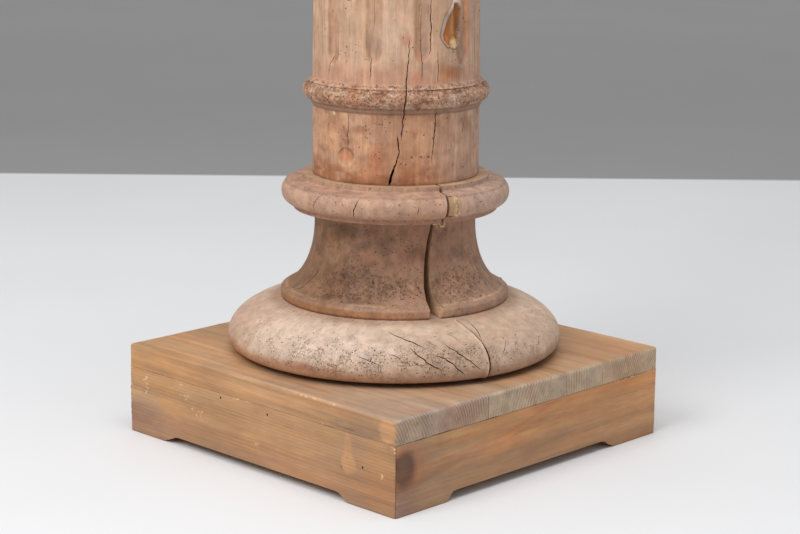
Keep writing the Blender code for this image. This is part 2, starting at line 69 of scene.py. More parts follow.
# ---- sizes read from the frame -----------------------------------------------------------------

TORUS_LOW, TORUS_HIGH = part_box("base_torus_ring")
SCOTIA_LOW, SCOTIA_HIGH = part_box("base_scotia_ring")
SHAFT_LOW, SHAFT_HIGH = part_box("fluted_shaft")
CAPITAL_LOW, CAPITAL_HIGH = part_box("capital")
PLATE_LOW, PLATE_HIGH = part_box("candle_plate")
PAN_LOW, PAN_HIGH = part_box("drip_pan")
PRICKET_LOW, PRICKET_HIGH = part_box("pricket")
HALF = CAD_BOX[1].x
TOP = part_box("plinth_top_board_1")[1].z
TOP_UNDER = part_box("plinth_top_board_1")[0].z
SIDE_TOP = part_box("plinth_side_front")[1].z
BOARD = TOP - TOP_UNDER
BORE = 0.0303

# ---- noise and masks ---------------------------------------------------------------------------


LATTICE = 64
RANDOM = np.random.default_rng(5).random(LATTICE**3)


def noise(points, size, seed):
    """Smooth noise from -1 to 1, with lumps of about that size."""
    place = points / np.asarray(size, float) + np.array([7.13, 3.71, 5.29]) * seed
    cell = np.floor(place)
    part = place - cell
    part = part * part * (3 - 2 * part)
    cell = cell.astype(np.int64)
    low, high = cell % LATTICE, (cell + 1) % LATTICE
    total = 0.0
    for x, share_x in ((low[:, 0], 1 - part[:, 0]), (high[:, 0], part[:, 0])):
        for y, share_y in ((low[:, 1], 1 - part[:, 1]), (high[:, 1], part[:, 1])):
            row, share = (x * LATTICE + y) * LATTICE, share_x * share_y
            total = total + share * (1 - part[:, 2]) * RANDOM[row + low[:, 2]]
            total = total + share * part[:, 2] * RANDOM[row + high[:, 2]]
    return 2 * total - 1


def layered(points, size, seed, layers=3):
    """Noise with finer noise added to it, each layer half as large and half as strong."""
    size = np.asarray(size, float)
    total = sum(noise(points, size / 2**i, seed + i) / 2**i for i in range(layers))
    return total / (2 - 2 ** (1 - layers))


def ramp(value, low, high):
    """0 below low, 1 above high, and smooth between. low may be the larger."""
    t = np.clip((value - low) / (high - low), 0.0, 1.0)
    return t * t * (3 - 2 * t)


def colour(red, green, blue):
    """An sRGB colour out of 255 as linear numbers."""
    return (np.array([red, green, blue]) / 255.0) ** 2.2


def blend(base, mask, other):
    """base turned towards the other colour as far as the mask says."""
    return base + (other - base) * np.asarray(mask)[..., None]


def peak(value, middle, width):
    """1 at the middle, and falling away on both sides of it."""
    return np.exp(-(((value - middle) / width) ** 2))


def round_axis(radius, degrees, height):
    """Points by radius, degrees round the axis from the plinth's front corner, and height."""
    angle = FRONT + np.radians(degrees)
    return np.stack(np.broadcast_arrays(radius * np.cos(angle), radius * np.sin(angle), height), -1)


def arc(middle_r, middle_z, size_r, size_z, start, end, count):
    """Points of an elliptical arc in a profile. Angles are in degrees up from outward."""
    angles = np.radians(np.linspace(start, end, count))
    return [
        (middle_r + size_r * math.cos(a), middle_z + size_z * math.sin(a)) for a in angles
    ]


class Places:
    """The points of a piece, and masks over them."""

    def __init__(self, points):
        self.points = points

    def patch(self, size, seed, low, high):
        """A mask of soft patches of about that size."""
        return ramp(layered(self.points, size, seed), low, high)

    def wavering(self, value, mm, size, seed, low, high):
        """A ramp whose edge wanders that many mm either way."""
        return ramp(value + mm * layered(self.points, size, seed), low, high)

    def oval(self, across, up, soft, ragged, seed):
        """A mask that fades round the oval whose edge is where across and up make 1."""
        far = np.hypot(across, up)
        if ragged:
            far = far + ragged * layered(self.points, 0.008, seed)
        return ramp(far, 1 + soft, 1 - soft)


class Turned(Places):
    """Points on a turned piece, by degrees round the axis, and height and radius in mm."""

    def __init__(self, points):
        super().__init__(points)
        self.mm = points[:, 2] / MM
        self.radius = np.hypot(points[:, 0], points[:, 1]) / MM
        turn = np.degrees(np.arctan2(points[:, 1], points[:, 0]) - FRONT)
        self.degrees = (turn + 180) % 360 - 180

    def spot(self, degree, mm, wide, high, soft=0.5, ragged=0.0, seed=0):
        """A mask that fades round an oval place, wide and high being its half sizes."""
        across, up = (self.degrees - degree) / wide, (self.mm - mm) / high
        return self.oval(across, up, soft, ragged, seed)

    def tools(self):
        return self.mm, self.degrees, self.spot, self.patch


def outside(place, corners):
    """How far each place is outside an outline of (degree, mm) corners, in mm: negative inside."""
    radius = place.radius.max()
    a = np.array(corners, float) * (math.radians(1) * radius, 1)
    at = np.stack([np.radians(place.degrees) * radius, place.mm], -1)
    far, crossed = np.full(len(at), 1e6), np.zeros(len(at), bool)
    for start, end in zip(a, np.roll(a, -1, 0)):
        line = end - start
        share = np.clip((at - start) @ line / (line @ line), 0, 1)
        far = np.minimum(far, np.linalg.norm(at - start - share[:, None] * line, axis=1))
        height = (at[:, 1] - start[1]) / (line[1] or 1e-9)
        crossed ^= ((start[1] > at[:, 1]) != (end[1] > at[:, 1])) & (at[:, 0] < start[0] + height
            * line[0])
    return np.where(crossed, -far, far)


class Flat(Places):
    """Points on the plinth, by x, y and z in mm."""

    def __init__(self, points):
        super().__init__(points)
        self.x, self.y, self.z = points.T / MM

    def spot(self, across, up, middle, size, soft=0.5, ragged=0.0, seed=0):
        """A mask that fades round an oval place. across and up are two of x, y and z."""
        across, up = (across - middle[0]) / size[0], (up - middle[1]) / size[1]
        return self.oval(across, up, soft, ragged, seed)

    def tools(self):
        return self.x, self.y, self.z, self.spot, self.patch


# ---- meshes ------------------------------------------------------------------------------------


def spread(profile, spacing):
    """A profile with points added, so that none are further apart than the spacing there."""
    points = [profile[0]]
    for start, end in zip(profile, profile[1:]):
        start, end = np.array(start), np.array(end)
        count = max(1, math.ceil(np.linalg.norm(end - start) / spacing((start + end)[1] / 2)))
        points += [tuple(start + (end - start) * (i + 1) / count) for i in range(count)]
    return np.array(points)


def soften(points, passes):
    """Rounds a fine profile's corners as wear does, leaving its two ends."""
    points = points.copy()
    for _ in range(passes):
        points[1:-1] = (points[:-2] + 2 * points[1:-1] + points[2:]) / 4
    return points


def cuts(low, high, plain, *bands):
    """Places from low to high. Each band is (from, to, step). The rest has the plain step."""
    places, at = [low], low
    while True:
        at += min([step for start, end, step in bands if start <= at < end], default=plain)
        if at >= high - plain / 4:
            return np.array([*places, high])
        places.append(at)


def brick(us, vs, ws):
    """The skin of a block that is cut into cells: its points as (u, v, w), and its faces."""
    count = (len(us), len(vs), len(ws))
    faces = []
    for axis in range(3):
        a, b = (axis + 1) % 3, (axis + 2) % 3
        grid = np.meshgrid(np.arange(count[a] - 1), np.arange(count[b] - 1), indexing="ij")
        for end in (0, count[axis] - 1):
            corners = []
            for step_a, step_b in ((0, 0), (1, 0), (1, 1), (0, 1)):
                place = [np.full_like(grid[0], end)] * 3
                place[a], place[b] = grid[0] + step_a, grid[1] + step_b
                corners.append(np.ravel_multi_index(place, count).ravel())
            quads = np.stack(corners, -1)
            faces.append(quads if end else quads[:, ::-1])
    used, faces = np.unique(np.concatenate(faces), return_inverse=True)
    place = np.unravel_index(used, count)
    points = [np.asarray(values, float)[index] for values, index in zip((us, vs, ws), place)]
    return np.stack(points, -1), faces.reshape(-1, 4)


def lathe(profile, degrees):
    """A profile turned round the axis. It runs down the outside, and closes on itself, unless
    both its ends are on the axis."""
    profile = np.asarray(profile, float)
    points = round_axis(profile[:, :1], degrees, profile[:, 1:])
    rows, columns = len(profile), len(degrees)
    grid = np.arange(rows * columns).reshape(rows, columns)
    solid = profile[0, 0] < 1e-6
    if solid:
        grid[0], grid[-1] = grid[0, 0], grid[-1, 0]
    right, below = np.roll(grid, -1, 1), np.roll(grid, -1, 0)
    faces = np.stack([grid, below, np.roll(below, -1, 1), right], -1)
    return points.reshape(-1, 3), faces[: rows - solid].reshape(-1, 4)


def normals_of(points, faces):
    corners = points[faces]
    facing = np.cross(corners[:, 2] - corners[:, 0], corners[:, 3] - corners[:, 1])
    total = np.zeros_like(points)
    for corner in range(4):
        np.add.at(total, faces[:, corner], facing)
    return total / np.maximum(np.linalg.norm(total, axis=1, keepdims=True), 1e-12)


def mesh_of(name, points, faces):
    """A mesh with no spare points, where a face that repeats a corner becomes a triangle."""
    used, faces = np.unique(faces, return_inverse=True)
    corners = [list(dict.fromkeys(face)) for face in faces.reshape(-1, 4).tolist()]
    mesh = bpy.data.meshes.new(name)
    mesh.from_pydata(points[used].tolist(), [], [face for face in corners if len(face) > 2])
    return mesh


def points_of(mesh):
    values = np.empty(len(mesh.vertices) * 3, np.float32)
    mesh.vertices.foreach_get("co", values)
    return values.reshape(-1, 3).astype(float)


def shown_mesh(piece):
    """The mesh of a piece with its modifiers applied."""
    graph = bpy.context.evaluated_depsgraph_get()
    return bpy.data.meshes.new_from_object(piece.evaluated_get(graph))


def near(points, path):
    """How far each point is from a path, and how far along the path that is, from 0 to 1."""
    best, where = np.full(len(points), 1.0), np.zeros(len(points))
    for i, (a, b) in enumerate(zip(path, path[1:])):
        step = b - a
        t = np.clip((points - a) @ step / max(step @ step, 1e-12), 0, 1)
        far = np.linalg.norm(points - a - t[:, None] * step, axis=1)
        closer = far < best
        best[closer] = far[closer]
        where[closer] = (i + t[closer]) / (len(path) - 1)
    return best, where


def shrunk_to_one(vectors):
    return vectors / np.linalg.norm(vectors, axis=-1, keepdims=True)


class Crack:
    """An open crack along (degree, mm) places on a turned surface: widths and depth in mm."""

    def __init__(self, profile, places, width, depth, seed, wander=0.3):
        rng = np.random.default_rng(seed)
        seen = np.array(sorted(map(tuple, np.round(profile, 6)), key=lambda point: point[1]))
        places = np.array(places, float)
        radius = np.interp(places[:, 1] * MM, seen[:, 1], seen[:, 0])
        sides = np.radians(np.diff(places[:, 0])) * radius[1:] / MM
        reach = np.concatenate([[0], np.hypot(sides, np.diff(places[:, 1])).cumsum()])
        count = max(4, round(reach[-1] / 1.8))
        at = np.linspace(0, reach[-1], count + 1)
        degrees = np.interp(at, reach, places[:, 0])
        height = np.interp(at, reach, places[:, 1]) * MM
        step = rng.normal(0, wander, count + 1)
        step = np.convolve(step, [0.25, 0.5, 0.25], "same") * 1.6
        step[[0, -1]] = 0
        radius = np.interp(height, seen[:, 1], seen[:, 0])
        degrees = degrees + np.degrees(step * MM / radius)
        slope = np.interp(height + 1.5 * MM, seen[:, 1], seen[:, 0])
        slope = slope - np.interp(height - 1.5 * MM, seen[:, 1], seen[:, 0])
        out = round_axis(1.0, degrees, 0.0)
        self.path = radius[:, None] * out + height[:, None] * UP
        self.facing = shrunk_to_one(3 * MM * out - slope[:, None] * UP)
        share = np.linspace(0, 1, count + 1)
        wide = np.interp(share, np.linspace(0, 1, np.size(width)), np.atleast_1d(width))
        fade = np.minimum(1, np.minimum(share, 1 - share) * count / 3.0)
        self.wide = wide * (0.12 + 0.88 * fade) * rng.uniform(0.75, 1.25, count + 1) * MM
        self.deep = depth * (0.3 + 0.7 * fade) * MM

    def cutter(self):
        """A wedge that stands proud of the surface and narrows as it goes in."""
        side = shrunk_to_one(np.cross(self.facing, np.gradient(self.path, axis=0)))
        half = side * self.wide[:, None] / 2
        deep = self.facing * self.deep[:, None]
        proud = self.path + self.facing * 2.5 * MM
        ring = [proud + half, proud - half, self.path - deep * 0.6 - half * 0.6, self.path - deep]
        ring += [self.path - deep * 0.6 + half * 0.6]
        points = np.stack(ring, 1)
        rows, five = points.shape[:2]
        grid = np.arange(rows * five).reshape(rows, five)
        right = np.roll(grid, -1, 1)
        walls = np.stack([grid[:-1], right[:-1], right[1:], grid[1:]], -1).reshape(-1, 4)
        return points.reshape(-1, 3), [*walls.tolist(), grid[0][::-1].tolist(), grid[-1].tolist()]


def cut_away(piece, points, faces, inside):
    """Takes a closed shape out of the piece. The walls that it leaves get the inside material."""
    mesh = bpy.data.meshes.new("cutter")
    mesh.from_pydata(points.tolist(), [], faces)
    mesh.materials.append(inside)
    tool = bpy.data.objects.new("cutter", mesh)
    bpy.context.scene.collection.objects.link(tool)
    cut = piece.modifiers.new("cut", "BOOLEAN")
    cut.solver, cut.operation, cut.object = "MANIFOLD", "DIFFERENCE", tool
    cut.material_mode = "TRANSFER"
    piece.data = shown_mesh(piece)
    piece.modifiers.clear()
    bpy.data.objects.remove(tool)
    bpy.data.meshes.remove(mesh)


def cracks_of(profile, seed, rows, wider=1.0):
    """A crack for each row of places, widths, depth and how far it wanders."""
    return [
        Crack(profile, places, np.multiply(wider, width), depth, seed + i, wander)
        for i, (places, width, depth, wander) in enumerate(rows)
    ]


def cut_cracks(piece, cracks, inside):
    """Cuts the cracks into the piece, those that are clear of each other at the same time."""
    batches = []
    for crack in cracks:
        points, faces = crack.cutter()
        low, high = points.min(0) - MM, points.max(0) + MM
        for batch in batches:
            if all((low > top).any() or (high < bottom).any() for *_, bottom, top in batch):
                batch.append((points, faces, low, high))
                break
        else:
            batches.append([(points, faces, low, high)])
    for batch in batches:
        starts = np.cumsum([0, *[len(points) for points, *_ in batch]]).tolist()
        walls = []
        for start, (_, faces, *_) in zip(starts, batch):
            walls += [[start + corner for corner in wall] for wall in faces]
        cut_away(piece, np.concatenate([points for points, *_ in batch]), walls, inside)


def new_piece(name, points, faces, material, replaces=(), body="root"):
    """A piece that stands for those CAD nodes, and rides on that body."""
    mesh = mesh_of(name, points, faces)
    piece = bpy.data.objects.new(name, mesh)
    bpy.context.scene.collection.objects.link(piece)
    mesh.materials.append(material)
    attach(piece, body)
    if replaces:
        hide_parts(*replaces)
    return piece


def smooth(piece, sharp):
    """Shades the piece smooth between the edges sharper than that many degrees."""
    piece.data.shade_smooth()
    piece.data.set_sharp_from_angle(angle=math.radians(sharp))


class Coat:
    """The tint and the marks of a finished piece, laid on layer over layer.

    The marks are three numbers: for old wood dirt and painted shade, holes and whitewash, and for
    pine dirt and painted shade, specks and pale flecks."""

    def __init__(self, piece, kind, first):
        self.piece, self.place = piece, kind(points_of(piece.data))
        self.tint = np.broadcast_to(first, self.place.points.shape)
        self.marks = np.zeros_like(self.place.points)

    def tools(self):
        return self.place, *self.marks.T, *self.place.tools()

    def over(self, mask, red, green, blue):
        """Turns the tint towards an sRGB colour."""
        self.tint = blend(self.tint, mask, colour(red, green, blue))

    def to(self, mask, *numbers):
        """Turns the tint towards linear numbers."""
        self.tint = blend(self.tint, mask, np.array(numbers))

    def times(self, mask, *factors):
        self.tint = blend(self.tint, mask, self.tint * factors)

    def finish(self, sharp=38.0, most=1.0, alpha=1.0):
        """Stores both as colour layers, and shades the piece."""
        for layer, values in (("tint", self.tint), ("marks", np.clip(self.marks, 0, most))):
            rgba = np.ones((len(values), 4), np.float32)
            rgba[:, :3] = values
            if layer == "tint":
                rgba[:, 3] = alpha
            store = self.piece.data.color_attributes.new(layer, "FLOAT_COLOR", "POINT")
            store.data.foreach_set("color", rgba.ravel())
        smooth(self.piece, sharp)




# ---- materials ---------------------------------------------------------------------------------


class Shader:
    """A node material that is put together from plain calls."""

    def __init__(self, name):
        self.material = bpy.data.materials.new(name)
        self.material.use_nodes = True
        self.tree = self.material.node_tree
        self.surface = self.tree.nodes["Principled BSDF"]
        self.place = self.node("ShaderNodeTexCoord").outputs["Object"]

    def node(self, kind, inputs=None, **settings):
        made = self.tree.nodes.new(kind)
        for key, value in settings.items():
            setattr(made, key, value)
        for key, value in (inputs or {}).items():
            self.put(made.inputs[key], value)
        return made

    def put(self, socket, value):
        if isinstance(value, bpy.types.NodeSocket):
            self.tree.links.new(value, socket)
        elif socket.type == "RGBA":
            socket.default_value = (*value, 1.0)
        else:
            socket.default_value = value

    def maths(self, operation, a, b=0.0):
        return self.node("ShaderNodeMath", {0: a, 1: b}, operation=operation).outputs[0]

    def times(self, *values):
        return reduce(lambda a, b: self.maths("MULTIPLY", a, b), values)

    def plus(self, *values):
        return reduce(lambda a, b: self.maths("ADD", a, b), values)

    def scaled(self, scale, place=None, turn=(0.0, 0.0, 0.0)):
        inputs = {"Vector": place or self.place, "Scale": scale, "Rotation": turn}
        return self.node("ShaderNodeMapping", inputs).outputs[0]

    def stirred(self, scale, strength):
        """The place, pushed about by noise."""
        push = self.node("ShaderNodeTexNoise",
            {"Vector": self.place, "Scale": scale}).outputs["Color"]
        inputs = {0: push, 1: (strength,) * 3, 2: self.place}
        return self.node("ShaderNodeVectorMath", inputs, operation="MULTIPLY_ADD").outputs[0]

    def noise(self, scale, place=None, detail=3.0, roughness=0.55):
        inputs = {"Vector": place or self.place, "Scale": scale, "Detail": detail}
        inputs["Roughness"] = roughness
        return self.node("ShaderNodeTexNoise", inputs).outputs["Fac"]

    def cells(self, scale, place=None, feature="F1"):
        inputs = {"Vector": place or self.place, "Scale": scale}
        return self.node("ShaderNodeTexVoronoi", inputs, feature=feature).outputs

    def step(self, value, low, high, to_low=0.0, to_high=1.0):
        inputs = {"Value": value, "From Min": low, "From Max": high}
        inputs |= {"To Min": to_low, "To Max": to_high}
        made = self.node("ShaderNodeMapRange", inputs, interpolation_type="SMOOTHSTEP")
        return made.outputs[0]

    def mix(self, amount, a, b, mode="MIX"):
        made = self.node("ShaderNodeMix", data_type="RGBA", blend_type=mode)
        self.put(made.inputs[0], amount)
        self.put(made.inputs[6], a)
        self.put(made.inputs[7], b)
        return made.outputs[2]

    def lit(self, base, light):
        """The base colour made lighter or darker by a number."""
        grey = self.node("ShaderNodeCombineColor", {0: light, 1: light, 2: light}).outputs[0]
        return self.mix(1.0, base, grey, "MULTIPLY")

    def tinted(self, base, factors):
        return self.mix(1.0, base, factors, "MULTIPLY")

    def layer(self, name):
        return self.node("ShaderNodeAttribute", attribute_name=name).outputs["Color"]

    def parts(self, colour_socket):
        return self.node("ShaderNodeSeparateColor", {"Color": colour_socket}).outputs

    def bump(self, height, distance, strength=1.0, normal=None):
        inputs = {"Height": height, "Distance": distance, "Strength": strength}
        if normal:
            inputs["Normal"] = normal
        return self.node("ShaderNodeBump", inputs).outputs[0]

    def finish(self, base, roughness, normal=None, **fixed):
        self.put(self.surface.inputs["Base Color"], base)
        self.put(self.surface.inputs["Roughness"], roughness)
        if normal:
            self.put(self.surface.inputs["Normal"], normal)
        for key, value in fixed.items():
            self.surface.inputs[key.replace("_", " ")].default_value = value
        return self.material


def old_wood(name, fibre, strength=0.16, crackle=0.0):
    """Bare old wood under the rest of a whitewash: fibres, dusty pits and beetle holes.

    The tint layer is its colour, with some painted light and shade. The marks layer holds dirt and
    painted shade, pits and whitewash. fibre is the scale of the grain along each axis, small where
    the grain runs."""
    s = Shader(name)
    dirt_and_shade, holes, washed = s.parts(s.layer("marks"))[:3]
    along = s.scaled(fibre)
    fine = s.noise(1100.0, along, 4.0, 0.65)
    broad = s.noise(240.0, along)
    mottle = s.noise(50.0, None, 6.0, 0.68)
    cloud = s.noise(150.0, s.scaled(tuple(math.sqrt(scale) for scale in fibre)), 4.0, 0.6)
    light = s.times(
        s.step(fine, 0.25, 0.75, 1 - strength * 0.9, 1 + strength * 0.6),
        s.step(broad, 0.25, 0.75, 1 - strength * 0.7, 1 + strength * 0.6),
        s.step(mottle, 0.28, 0.72, 0.84, 1.12),
        s.step(cloud, 0.28, 0.72, 0.9, 1.08),
    )
    base = s.lit(s.layer("tint"), light)
    warm = s.step(s.noise(75.0, s.stirred(60.0, 0.01), 5.0, 0.65), 0.5, 0.68)
    base = s.mix(s.times(warm, 0.3), base, s.tinted(base, (1.0, 0.8, 0.66)))

    flecks = s.plus(s.noise(480.0, None, 4.0, 0.7), s.times(washed, 0.34))
    wash = s.times(s.step(flecks, 0.66, 0.9), s.step(washed, 0.0, 0.3), 0.45)
    base = s.mix(wash, base, colour(232, 212, 196))

    # Stains where the surface is rotten, and beetle holes of two sizes in some of the cells.
    rotten = s.noise(210.0, s.stirred(120.0, 0.004), 5.0, 0.65)
    stain = s.times(s.step(s.maths("SUBTRACT", rotten, s.step(holes, 0.0, 1.0, 0.72, 0.46)), 0.0,
        0.07), 0.55)
    base = s.mix(stain, base, s.tinted(base, (0.56, 0.44, 0.38)))
    pits = 0.0
    for scale, share, widest in ((240.0, 0.55, 0.26), (430.0, 0.75, 0.42)):
        cell = s.cells(scale, s.stirred(260.0, 0.0016))
        picked = s.parts(cell["Color"])
        chosen = s.maths("LESS_THAN", picked[0],
            s.times(holes, share, s.step(rotten, 0.38, 0.58, 0.1, 1.3)))
        size = s.maths("DIVIDE", cell["Distance"], s.step(picked[1], 0.0, 1.0, 0.14, widest))
        pits = s.maths("MAXIMUM", pits, s.times(s.step(size, 1.0, 0.6), chosen))
    base = s.mix(s.times(pits, 0.84), base, colour(84, 52, 38))

    # Dirt and painted shade from the marks layer, broken up by noise.
    dust_and_shade = s.times(dirt_and_shade, s.step(s.noise(330.0, None, 5.0, 0.7), 0.3, 0.62, 0.45, 1.0))
    base = s.mix(s.times(dust_and_shade, 0.9), base, colour(74, 48, 33))
    height = s.plus(s.times(fine, 0.3), s.times(broad, 0.3), s.times(pits, -1.3),
        s.times(dust_and_shade, -0.5))
    if crackle:
        edge = s.cells(crackle, s.stirred(110.0, 0.014), "DISTANCE_TO_EDGE")["Distance"]
        patchy = s.times(s.step(s.noise(55.0, None, 5.0), 0.44, 0.58), s.step(holes, 0.05, 0.4))
        lines = s.times(s.step(edge, 0.055, 0.01), patchy)
        base = s.mix(s.times(lines, 0.55), base, colour(92, 62, 45))
        height = s.plus(height, s.times(lines, -1.0))
    rough = s.step(mottle, 0.3, 0.7, 0.62, 0.78)
    return s.finish(base, rough, s.bump(height, 0.0005, 0.9), Specular_IOR_Level=0.3)


def split_wood(name, base, second):
    """The walls of cracks: torn fibres that have darkened, in two tones. Very dark tones also stand
    for painted shade inside the crack.
    """
    s = Shader(name)
    fine = s.noise(900.0, s.scaled((1.0, 1.0, 0.15)), 4.0, 0.7)
    tone = s.mix(s.step(fine, 0.3, 0.7), base, second)
    return s.finish(tone, s.step(fine, 0.2, 0.8, 0.8, 0.95), s.bump(fine, 0.0006, 1.0))


def pine(name, axis, pith, spacing, early, late, contrast=0.25, sway=0.02, climb=0.012):
    """Waxed pine: growth rings round a pith line, drawn out along the board's length.

    axis is the length, 0 for X and 1 for Y. pith is the ring centre, across the board and up.
    The rings are stronger on end grain, where the tint layer's alpha is 0."""
    s = Shader(name)
    x, y, z = s.node("ShaderNodeSeparateXYZ", {"Vector": s.place}).outputs[:3]
    length, across = ((x, y), (y, x))[axis]
    dirt_and_shade, specks, pale = s.parts(s.layer("marks"))[:3]
    painted = s.node("ShaderNodeAttribute", attribute_name="tint")
    ends = s.maths("SUBTRACT", 1.0, painted.outputs["Alpha"])
    grain = s.scaled(tuple(0.06 if i == axis else 1.0 for i in range(3)))
    hair = s.scaled(tuple(0.02 if i == axis else 1.0 for i in range(3)))
    side = s.plus(across, -pith[0])
    up = s.plus(z, -pith[1])
    far = s.maths("SQRT", s.plus(s.times(side, side), s.times(up, up)))
    far = s.plus(far, s.times(s.noise(12.0, grain, 3.0, 0.5), sway), s.times(length, climb))
    phase = s.maths("FRACT", s.maths("DIVIDE", s.plus(far, 5.0), spacing))
    band = s.times(s.step(phase, 0.2, 0.86), s.step(phase, 1.0, 0.94))
    band = s.times(band, s.step(s.noise(28.0, grain, 3.0), 0.35, 0.65, 0.15, 1.0))
    fibres = s.noise(800.0, hair, 4.0, 0.6)
    streaks = s.noise(90.0, hair, 5.0, 0.65)
    worn = s.noise(35.0, s.scaled(tuple(0.3 if i == axis else 1.0 for i in range(3))), 6.0, 0.7)
    tone = s.noise(20.0, grain, 5.0, 0.62)
    patch = s.noise(16.0, s.scaled((0.35, 0.35, 1.0)), 6.0, 0.65)
    base = s.mix(s.times(band, s.plus(contrast, s.times(ends, 0.9 - contrast))), early, late)
    base = s.mix(1.0, base, painted.outputs["Color"], "MULTIPLY")
    light = s.times(
        s.step(fibres, 0.25, 0.75, 0.9, 1.07),
        s.step(streaks, 0.3, 0.7, 0.87, 1.09),
        s.step(tone, 0.3, 0.7, 0.9, 1.08),
        s.step(worn, 0.3, 0.7, 0.88, 1.1),
        s.step(patch, 0.3, 0.7, 0.88, 1.1),
    )
    base = s.lit(base, light)
    warm = s.step(s.noise(9.0, grain, 5.0, 0.6), 0.48, 0.66)
    base = s.mix(s.times(warm, 0.4), base, s.tinted(base, (1.06, 0.82, 0.66)))
    grey = s.step(s.noise(14.0, s.scaled((0.5, 0.5, 1.0)), 6.0, 0.68), 0.5, 0.66)
    base = s.mix(s.times(grey, 0.38), base, s.tinted(base, (0.8, 0.84, 0.96)))
    grit = s.noise(420.0, s.stirred(200.0, 0.003), 3.0, 0.6)
    dots = s.step(s.maths("SUBTRACT", grit, s.step(specks, 0.0, 1.0, 0.8, 0.54)), 0.0, 0.04)
    base = s.mix(s.times(dots, 0.7), base, colour(74, 48, 32))
    # Dirt and painted shade from the marks layer, broken up by noise.
    dust_and_shade = s.times(dirt_and_shade, s.step(s.noise(300.0, None, 5.0, 0.7), 0.3, 0.6, 0.5, 1.0))
    base = s.mix(s.times(dust_and_shade, 0.9), base, colour(62, 43, 30))
    flecks = s.step(s.plus(s.noise(260.0, s.stirred(150.0, 0.004), 4.0, 0.6), s.times(pale, 0.34)),
        0.74, 0.86)
    base = s.mix(s.times(flecks, s.step(pale, 0.02, 0.3), 0.85), base, colour(226, 194, 148))
    height = s.plus(s.times(band, 0.5), s.times(fibres, 0.5), s.times(dots, -1.0),
        s.times(dust_and_shade, -0.6))
    rough = s.step(tone, 0.2, 0.8, 0.44, 0.58)
    return s.finish(base, rough, s.bump(height, 0.00025, 0.9), Specular_IOR_Level=0.35)


def metal(name, base, second, roughness, lumps=70.0):
    """Aged metal: two tones in soft patches, fine scratches and shallow dents."""
    s = Shader(name)
    patch = s.noise(38.0, None, 6.0, 0.6)
    fine = s.noise(600.0)
    tone = s.mix(s.step(patch, 0.25, 0.85), base, second)
    rough = s.plus(s.step(patch, 0.3, 0.7, roughness - 0.1, roughness + 0.12), s.times(fine, 0.08))
    normal = s.bump(s.noise(lumps, None, 2.0), 0.001, 0.5)
    return s.finish(tone, rough, s.bump(fine, 0.0001, 0.5, normal), Metallic=1.0)


WOOD_TURNED = old_wood("old_turned_wood", (1.0, 1.0, 0.05), 0.15)
WOOD_TORUS = old_wood("old_torus_wood", (0.9, 0.5, 1.0), 0.09, crackle=250.0)
WOOD_SCOTIA = old_wood("old_scotia_wood", (0.8, 0.8, 0.35), 0.13)
# Crack and pin hole walls: darkened fibres, painted darker still as the shade deep inside them.
DARK_SPLIT = split_wood("dark_split", colour(50, 31, 21), colour(26, 16, 11))

# ---- the lower ring: a wide torus --------------------------------------------------------------

TORUS_MIDDLE = 0.123
torus_profile = soften(
    spread(
        [(BORE, TORUS_HIGH.z), (0.1, TORUS_HIGH.z)]
        + arc(0.105, TORUS_MIDDLE, 0.089, 0.047, 73.2, 0, 60)
        + arc(0.184, TORUS_MIDDLE, 0.01, 0.0122, 0, -90, 14)[1:]
        + [(0.178, 0.1101), (0.17, 0.1091), (0.168, TORUS_LOW.z)],
        lambda z: 0.00092,
    ),
    2,
)
torus_profile = torus_profile[torus_profile[:, 0] > 0.118]
torus_profile[-1] = (0.168, TORUS_LOW.z)
points, faces = lathe(
    [(BORE, TORUS_HIGH.z), (0.08, TORUS_HIGH.z), *torus_profile, (0.1, TORUS_LOW.z),
        (BORE, TORUS_LOW.z)],
    cuts(-180, 179, 2.0, (-95, -20, 0.55), (-20, 45, 0.33), (45, 95, 0.55)),
)
place = Turned(points)
mm, deg, spot, patch = place.tools()
facing = normals_of(points, faces)
seen = ramp(place.radius, 120, 128) * ramp(mm, 106.4, 108)
lumps = 0.3 * layered(points, (0.03, 0.03, 0.02), 3) + 0.1 * layered(points, 0.006, 5)
bald = patch(0.012, 8, 0.25, 0.6) * spot(-18, 140, 30, 22, 0.6)
SEAM_LINE = (107, 150, 166), (32.6, 32.6, 29.5)
seam_places = [(29.5, 166), (31.5, 157), (32.6, 150), (33.2, 138), (33.2, 125), (32.8, 112),
    (32.6, 107)]
seam = Crack(torus_profile, seam_places, (1.2, 2.0, 1.8, 1.4), 6, 11, 0.12)
second_seam = Crack(torus_profile, [(34.4, 166), (34.0, 158), (33.2, 151)], (1.3, 1.0), 5, 12, 0.12)
far, _ = near(points, seam.path)
beside = deg - np.interp(mm, *SEAM_LINE)
ridge = peak(far / MM, 2.2, 1.5) * (beside < 0)
sunk = peak(far / MM, 0, 4.0) * (beside > 0) * 0.45
points = points + facing * ((lumps - 0.25 * bald + ridge - sunk) * seen * MM)[:, None]
torus = new_piece("torus_ring", points, faces, WOOD_TORUS, ["base_torus_ring"])
